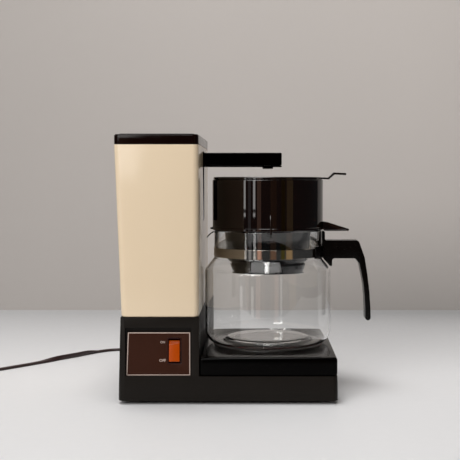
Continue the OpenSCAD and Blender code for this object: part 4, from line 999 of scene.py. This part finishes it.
def foot_side(inset):
    """The foot, pressed up in the middle inside its ring, on one face of the glass."""
    z = foot_z + inset
    return [(0, z + FOOT_RISE), (30, z + FOOT_RISE - 0.2), (RING - 8, z + FOOT_RISE - 0.6),
            (RING - 5.5, z + FOOT_RISE - 1.3), (RING - 4, z + 3), (RING - 2.6, z + 1.2), (RING - 1, z + 0.2)]


jug_outline = foot_side(0) + outer + rim + inner[::-1] + foot_side(WALL)[::-1]
glass_jug = turned("glass_jug", jug_outline, 192, angle=50)
LIP_REACH, LIP_DROP, LIP_HALF, TIP_HALF = 9, 7.6, 14, 4
lip_root = axis_x - NECK + 0.8
lip = block("lip", (axis_x - NECK - LIP_REACH, -LIP_HALF, rim_z - 2.6), (lip_root, LIP_HALF, rim_z - 0.7))
picked_faces(lip, lambda c, n: abs(n.z) > 0.9 or abs(n.y) > 0.9)
bpy.ops.mesh.subdivide(number_cuts=6)
bpy.ops.object.mode_set(mode="OBJECT")
for vertex in lip.data.vertices:
    out = max(0, lip_root - vertex.co.x / mm) / (LIP_REACH + 0.8)
    vertex.co.z -= LIP_DROP * mm * out ** 1.5
    vertex.co.y *= 1 - (1 - TIP_HALF / LIP_HALF) * out
eased(lip, 0.6, 3)
with_modifier(glass_jug, "BOOLEAN", operation="UNION", object=lip, solver="EXACT")
bpy.data.objects.remove(lip)
placed(smoothed(glass_jug, 50), "jug", jug_clear, "jug_clear", "jug_glass")

# %% [markdown]
# A steel band is wrapped round the neck, and its folded tab reaches into the handle, where a screw
# holds it. The handle starts as its side view, is given its width, and then every edge is rounded.

# %% Band, handle and its screw
BAND_HEIGHT, BAND_EDGE = 11, 0.3
tab_top = band_low.z + BAND_HEIGHT
band = turned("neck_band_ring", [
    (NECK, band_low.z + BAND_EDGE), (NECK + BAND_EDGE, band_low.z),
    (NECK + BAND_WALL, band_low.z + BAND_EDGE),
    (NECK + BAND_WALL, tab_top - BAND_EDGE), (NECK + BAND_EDGE, tab_top), (NECK, tab_top - BAND_EDGE)],
    192, closed=True, angle=40)
screw_x = axis_x + NECK + 10
tab = block("tab", (axis_x + NECK + 0.3, -5, tab_top - 1.2), (axis_x + NECK + 14.3, 5, tab_top))
carved(tab, peg("tab_hole", (screw_x, 0, tab_top - 5), 1.7, 10, 24))
eased(tab, 0.25, 2)
placed(joined("neck_band_ring", band, tab), "jug", band_steel, "band_steel", "neck_band")

handle_low, handle_high = reach("jug_handle")
root_x, back_x = axis_x + NECK + 0.7, handle_high.x
top_z, under_z, stem_z = tab_top + 8, tab_top - 13.6, handle_high.z
GRIP_HALF = 11
side_view = [(root_x, under_z + 2), (root_x, stem_z - 0.8), (root_x + 0.8, stem_z), (root_x + 2.4, stem_z),
             (root_x + 3.2, stem_z - 0.8), (root_x + 3.4, top_z + 2)] + \
    arc(root_x + 5.4, top_z + 2, 2, 190, 270, 4) + arc(back_x - 17.6, top_z - 4, 4, 90, 20, 6) + \
    [(back_x - 7.4, under_z + 1), (back_x - 4.2, under_z - 19), (back_x - 1.7, under_z - 39),
     (back_x - 0.4, under_z - 58), (back_x, under_z - 70)] + \
    arc(back_x - 3.2, handle_low.z + 3.2, 3.2, 0, -180, 8) + \
    [(back_x - 6.5, under_z - 62), (back_x - 7.2, under_z - 46), (back_x - 9, under_z - 29),
     (back_x - 13.7, under_z - 6)] + arc(back_x - 20.6, under_z - 4.5, 4.5, 12, 90, 6) + \
    arc(root_x + 15, under_z - 3, 3, 90, 180, 5) + \
    [(root_x + 12, under_z - 9), (root_x + 9.4, under_z - 9), (root_x + 2, under_z - 1)]
handle = cut_from("jug_handle_grip", side_view, 2 * GRIP_HALF)
eased(handle, 1.9, 5, 30)
SADDLE_ANGLE, SADDLE_WALL = 34, 2.6
saddle_low, saddle_high = band_low.z - 1, band_low.z + 13
saddle = drawn("saddle", [(root_x, saddle_low), (root_x + SADDLE_WALL, saddle_low),
                          (root_x + SADDLE_WALL, saddle_high), (root_x, saddle_high), (root_x, saddle_low)])
bpy.ops.mesh.select_all(action="SELECT")
bpy.ops.mesh.edge_face_add()
bpy.ops.mesh.spin(steps=32, angle=radians(2 * SADDLE_ANGLE), center=(axis_x * mm, 0, 0), axis=(0, 0, 1))
sewn(saddle)
centre = Matrix.Translation((axis_x * mm, 0, 0))
saddle.matrix_world = centre @ Matrix.Rotation(radians(SADDLE_ANGLE), 4, "Z") @ centre.inverted()
settled(saddle)
eased(saddle, 0.6, 3, 30)
with_modifier(handle, "BOOLEAN", operation="UNION", object=saddle, solver="EXACT")
bpy.data.objects.remove(saddle)
NUT_RADIUS = 3.1
carved(handle, peg("neck_space", (axis_x, 0, handle_low.z - 10), root_x - axis_x + 0.02, 200, 192),
       block("tab_slot", (root_x - 5, -5.2, tab_top - 1.4), (screw_x + 4.6, 5.2, tab_top + 0.2)),
       peg("screw_way", (screw_x, 0, tab_top - 8), 1.8, 40, 24),
       peg("head_seat", (screw_x, 0, top_z - 2.2), SCREW_HEAD + 0.3, 10, 40),
       peg("nut_seat", (screw_x, 0, tab_top - 4.6), NUT_RADIUS + 0.2, 3.3, 6))
placed(smoothed(handle, 35), "jug", handle_satin, "handle_plastic", "jug_handle")

head = screw_head("head", SCREW_HEAD, 1.9)
head.rotation_euler = (radians(180), 0, 0)
head.location = Vector((screw_x, 0, top_z - 0.3)) * mm
shank_low = reach("band_screw")[0].z
shank = peg("shank", (screw_x, 0, shank_low), SCREW_BODY, top_z - 1.5 - shank_low, 24)
band_screw = joined("band_screw_turned", settled(head), eased(shank, 0.3, 2))
placed(band_screw, "jug", screw_steel, "screw_steel", "band_screw")
nut = peg("band_nut_hex", (screw_x, 0, reach("band_nut")[0].z), NUT_RADIUS, 3, 6)
carved(nut, peg("thread", (screw_x, 0, tab_top - 10), 1.4, 20, 24))
placed(eased(nut, 0.3, 2), "jug", screw_steel, "screw_steel", "band_nut")

# %% [markdown]
# The filter basket is turned in one: a drum, a funnel that hangs in the jug's neck, a step and a
# drip skirt below it. A wedge at the right is the thumb tab; a thin nib hangs in front of the rim.

# %% Filter basket
DRUM_WALL, FUNNEL_TOP, FUNNEL_LOW, SKIRT = 2.2, 54, 49, 45.5
drum = axis_x - basket_low.x - 2
drum_z = rim_z + 0.3
drum_top = basket_high.z
step_z, skirt_top, skirt_low = drum_z - 34, drum_z - 41.5, drum_z - 50
basket_outline = [(drum - 6, drum_z)] + arc(drum - 0.8, drum_z + 0.8, 0.8, -90, 0, 4) + \
    [(drum, drum_z + 3.2), (drum - 0.5, drum_z + 3.6), (drum - 0.5, drum_z + 4.2),
     (drum - 0.5, drum_top - 0.9),
     (drum - 0.5, drum_top - 0.5)] + \
    arc(drum - 1, drum_top - 0.5, 0.5, 0, 90, 3) + \
    [(drum - DRUM_WALL, drum_top), (drum - DRUM_WALL, drum_z + 2.4),
     (FUNNEL_TOP - DRUM_WALL, drum_z + 2.4), (FUNNEL_LOW - DRUM_WALL, step_z),
     (FUNNEL_LOW - 5 - DRUM_WALL, skirt_top + 1),
     (30, skirt_low + 10), (5, skirt_low + 6), (5, skirt_low + 2),
     (8, skirt_low + 2), (32, skirt_low + 6.5), (SKIRT - 4, skirt_top - 2), (SKIRT - 4.5, skirt_low + 0.3),
     (SKIRT - 4.2, skirt_low), (SKIRT - 2.8, skirt_low), (SKIRT - 2.5, skirt_low + 0.3),
     (SKIRT, skirt_top - 0.6), (SKIRT - 0.5, skirt_top), (FUNNEL_LOW - 5, skirt_top + 1),
     (FUNNEL_LOW - 0.3, step_z - 0.6),
     (FUNNEL_LOW, step_z), (FUNNEL_TOP, drum_z - 0.4), (FUNNEL_TOP + 0.4, drum_z)]
basket = turned("filter_basket_turned", basket_outline, 192, closed=True, angle=30)
TAB_WIDTH, TAB_REACH = 30, 29.8
thumb = cut_from("thumb_tab", [(axis_x + drum + x, drum_z + z) for x, z in (
    (-1.6, 1), (0.6, -1.2), (TAB_REACH - 0.8, -1.2), (TAB_REACH, -0.2), (TAB_REACH, 1.1), (4, 9.2),
    (-1.6, 10))], TAB_WIDTH)
eased(thumb, 0.6, 3, 20)
NIB_X, NIB_WIDTH = axis_x + 2, 2.2
nib = block("nib", (NIB_X, -drum - 0.4, drum_z - 7), (NIB_X + NIB_WIDTH, -drum + 1.2, drum_z + 19))
ear = block("ear", (axis_x - drum - 2, -6, drum_z + 0.5), (axis_x - drum + 1.5, 6, drum_z + 2.7))
basket = joined("filter_basket_turned", basket, thumb, eased(nib, 0.35, 2), eased(ear, 0.4, 2))
placed(smoothed(basket, 30), "basket", basket_gloss, "basket_brown", "filter_basket")

# %% [markdown]
# The lid is a shallow disc with a rim that drops into the drum, and a tab that steps up at the right.
# Six small holes round its middle let the water from the nozzle through.

# %% Basket lid
LID_PLAY, LID_THICK, SEAT = 1.6, 3.2, 3.5
lid_z = lid_low.z + SEAT
lid_edge = drum - LID_PLAY
rim_outer, rim_inner = drum - DRUM_WALL - 0.6, drum - DRUM_WALL - 2.2
lid_top = lid_z + LID_THICK
lid_outline = [(0, lid_z + 0.6), (rim_inner, lid_z + 0.6), (rim_inner, lid_z - SEAT),
               (rim_outer, lid_z - SEAT), (rim_outer, lid_z)] + \
    arc(lid_edge - 0.6, lid_z + 0.6, 0.6, -90, 0, 3) + arc(lid_edge - 1.3, lid_top - 1.3, 1.3, 0, 90, 5) + \
    [(drum - 6, lid_top), (12, lid_top + 0.9), (9, lid_top + 0.2), (0, lid_top)]
lid_disc = turned("basket_lid_disc", lid_outline, 192, angle=30)
TAB_HALF, TAB_THICK, TAB_STEP = 12, 2.6, 6
lid_tab = cut_from("lid_tab", [(axis_x + drum + x, lid_z + z) for x, z in (
    (-8, 0.6), (6, 0.2), (12.5, TAB_STEP), (26.5, TAB_STEP - 0.7), (26.5, TAB_STEP + TAB_THICK - 0.7),
    (11.5, TAB_STEP + TAB_THICK), (5, TAB_THICK), (-8, TAB_THICK + 0.2))], 2 * TAB_HALF)
eased(lid_tab, 0.7, 4, 20)
HOLES, HOLE_RING, HOLE_RADIUS = 6, 6, 1.2
turns = [2 * pi * i / HOLES for i in range(HOLES)]
holes = [peg("hole", (axis_x + HOLE_RING * cos(turn), HOLE_RING * sin(turn), lid_z - 2), HOLE_RADIUS, 10, 20)
         for turn in turns]
carved(lid_disc, *holes)
lid = smoothed(joined("basket_lid_disc", lid_disc, lid_tab), 30)
placed(lid, "basket_cover", basket_gloss, "basket_brown", "basket_lid")

# %% [markdown]
# What is left of the frame sits inside the machine: the tank, the hoses, the heater, the switch's
# blades and the wires. Those nodes keep their CAD shape and get the same kinds of finish.

# %% Finishes of the inner pieces
inner = {
    milky_silicone: ["inlet_hose", "tank_hose", "outlet_hose", "tank_grommet"],
    white_plastic: ["water_tank", "check_valve_body", "check_ball", "terminal_block"],
    tube_aluminium: ["heating_element", "water_tube", "clamp_bar", "clamp_nut", "riser_pipe", "arm_tube",
                     "thermostat"],
    brass: ["switch_blades"],
    fuse_weave: ["thermal_fuse", "pipe_sleeve"],
    wire_brown: ["inner_wiring"],
    black_plastic: ["cord_clamp"],
}
for finish, nodes in inner.items():
    for name in nodes:
        node = frame["nodes"][name]
        node.data.materials.clear()
        node.data.materials.append(finish)
lamp = cased("neon_lamp", "neon_lamp_glass", 0)
placed(smoothed(lamp, 50), MACHINE, neon_glass, "lamp_glass", "neon_lamp")
print("inner nodes finished:", sum(len(nodes) for nodes in inner.values()))

# %% [markdown]
# The machine stands on a pale painted table before a plain wall. Neither is quite even: both have a
# soft mottle, and a darker tone is painted where the room's shade would lie.

# %% Table and wall
TABLE_FRONT, WALL_Y, ROOM_HALF, WALL_HEIGHT = -0.6, 0.69, 1.1, 2.4


def painted(name, colour, drift, rough, bump, fade):
    """Paint with a soft mottle; fade works out how much of it lies in the room's soft shade."""
    finish = Finish(name)
    drifted = finish.spread(finish.noise(2.2, 4), 0.3, 0.7)
    tint = finish.mix(drifted, shade(colour, 1 - drift), shade(colour, 1 + drift))
    x, y, z = (finish.node("ShaderNodeSeparateXYZ", {}, {0: finish.place}, axis) for axis in "XYZ")
    # painted shade: the fade darkens the paint towards a quarter of its colour
    tint = finish.mix(fade(finish, x, y, z), tint, shade(colour, 0.25))
    mottle = finish.noise(90, 4, 0.6)
    return finish.feed(Base_Color=tint, Roughness=finish.spread(mottle, 0.3, 0.7, rough - 0.05, rough + 0.05),
                       Normal=finish.bump(mottle, bump, 0.0008))


def sheet(name, location, size, turn, finish):
    pick_none()
    bpy.ops.mesh.primitive_plane_add(size=1, location=location, rotation=turn)
    obj = bpy.context.object
    obj.name = name
    obj.scale = (size[0], size[1], 1)
    settled(obj)
    obj.data.materials.append(finish)
    obj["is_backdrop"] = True
    return obj


def towards_wall(finish, x, y, z):
    """Painted shade: the table darkens towards the wall, most of all on the right."""
    return finish.spread(y, 0.0, 0.65) ** 1.5 * (0.42 + 0.34 * finish.spread(x, -0.5, 0.6))


def away_from_window(finish, x, y, z):
    """Painted shade: the wall is a little darker on the left, and low down towards the right."""
    return 0.30 * (1 - finish.spread(x, -0.7, 0.3)) + 0.26 * (1 - finish.spread(z, 0.0, 0.22)) * \
        finish.spread(x, -0.4, 0.5)


table_finish = painted("table_paint", screen(216, 216, 218), 0.012, 0.55, 0.12, towards_wall)
wall_finish = painted("wall_paint", screen(190, 184, 180), 0.012, 0.85, 0.05, away_from_window)
table_depth = WALL_Y - TABLE_FRONT
sheet("table", (0, (WALL_Y + TABLE_FRONT) / 2, 0), (2 * ROOM_HALF, table_depth), (0, 0, 0), table_finish)
wall = sheet("wall", (0, WALL_Y, WALL_HEIGHT / 2 - 0.2), (2 * ROOM_HALF, WALL_HEIGHT), (radians(90), 0, 0),
             wall_finish)


def open_from_behind(obj):
    """Lets one look through the back of a sheet, so that the machine can be seen from behind."""
    tree = obj.data.materials[0].node_tree
    side = tree.nodes.new("ShaderNodeNewGeometry").outputs["Backfacing"]
    clear = tree.nodes.new("ShaderNodeBsdfTransparent")
    blend = tree.nodes.new("ShaderNodeMixShader")
    tree.links.new(side, blend.inputs["Fac"])
    tree.links.new(tree.nodes["Principled BSDF"].outputs[0], blend.inputs[1])
    tree.links.new(clear.outputs[0], blend.inputs[2])
    tree.links.new(blend.outputs[0], tree.nodes["Material Output"].inputs["Surface"])


open_from_behind(wall)
print("stage set")

# %% [markdown]
# Daylight comes from the left through two tall windows. Dark rails cut each into a tall upper pane, a
# low strip and a pane near the floor. The glossy drum mirrors the first two and the steel band the
# last. A wide soft key from the upper left and a wash on the wall do most of the lighting.

# %% Windows and soft panels
WINDOW_DISTANCE, WINDOW_TOP = 2.5, 1.6
RAIL_TOP, SILL_TOP, SILL_LOW, FLOOR_TOP, FLOOR_LOW = 0.139, 0.126, 0.112, -0.03, -0.5


def panel(name, location, aim, width, height, radiance, colour=(1.0, 0.99, 0.97)):
    """A soft light, as bright on every square metre as its radiance says."""
    light = bpy.data.lights.new(name, "AREA")
    light.shape, light.size, light.size_y = "RECTANGLE", width, height
    light.energy, light.color = pi * width * height * radiance, colour
    lamp = bpy.data.objects.new(name, light)
    lamp.location = location
    lamp.rotation_euler = (Vector(aim) - Vector(location)).to_track_quat("-Z", "Y").to_euler()
    bpy.context.scene.collection.objects.link(lamp)
    return lamp


def around(azimuth, distance, height):
    """A point round the drum; azimuth 0 is straight in front, positive to the right."""
    turn = radians(azimuth)
    return axis_x * mm + distance * sin(turn), -distance * cos(turn), height


for name, azimuth, width in (("left", -48.6, 0.22), ("front", -28, 0.20)):
    for pane, low, high, radiance in (("upper", RAIL_TOP, WINDOW_TOP, 4.4), ("sill", SILL_LOW, SILL_TOP, 4.6),
                                      ("floor", FLOOR_LOW, FLOOR_TOP, 1.4)):
        middle = (low + high) / 2
        panel(name + "_window_" + pane, around(azimuth, WINDOW_DISTANCE, middle), (axis_x * mm, 0, middle),
              width, high - low, radiance)
panel("key", (-1.0, -1.9, 1.2), (0, 0, 0.15), 1.3, 1.2, 5.7)
panel("ceiling", (-0.4, -0.3, 2.3), (-0.1, 0.0, 0.0), 2.0, 1.2, 2.0)
panel("wall_wash", (-0.1, -0.1, 2.2), (0.9, 0.69, 0.7), 1.0, 0.8, 11)

# %% [markdown]
# Behind the camera lies the rest of the room. Five tall cards stand for a curtain, a door and some
# furniture; they are dim, and only the steel band and the glossy drum mirror them as streaks.

# %% Room cards
CARD_DISTANCE, CARD_HEIGHT = 3.0, 2.6


def card(name, azimuth, spread, colour):
    """A dim glowing card, seen by the shiny pieces and not by the camera."""
    finish = Finish(name + "_glow", Roughness=0.9, Emission_Strength=1.0)
    drifted = finish.spread(finish.noise(1.5, 2), 0.3, 0.7)
    tint = finish.mix(drifted, shade(colour, 0.85), shade(colour, 1.15))
    finish.feed(Base_Color=tint, Emission_Color=tint)
    width = 2 * CARD_DISTANCE * sin(radians(spread / 2))
    stand = sheet(name, around(azimuth, CARD_DISTANCE, 0), (width, CARD_HEIGHT),
                  (radians(90), 0, radians(azimuth)), finish.material)
    stand.visible_camera = False


for name, azimuth, spread, colour in (
        ("curtain", -38, 6, (140, 140, 142)), ("door", -18, 8, (196, 156, 138)),
        ("shelf", 11, 12, (96, 76, 64)), ("plant", 31, 8, (62, 58, 26)), ("chair", 45, 14, (132, 112, 84))):
    card(name, azimuth, spread, screen(*colour))
world = bpy.data.worlds.new("dim_room")
world.use_nodes = True
background = world.node_tree.nodes["Background"].inputs
background["Color"].default_value, background["Strength"].default_value = (0.9, 0.95, 1.0, 1), 0.05
bpy.context.scene.world = world
bpy.context.scene.view_settings.view_transform = "Standard"
print("lights on")

# %% Size and finish
low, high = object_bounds()
print("size", [round((b - a) / mm, 1) for a, b in zip(low, high)])
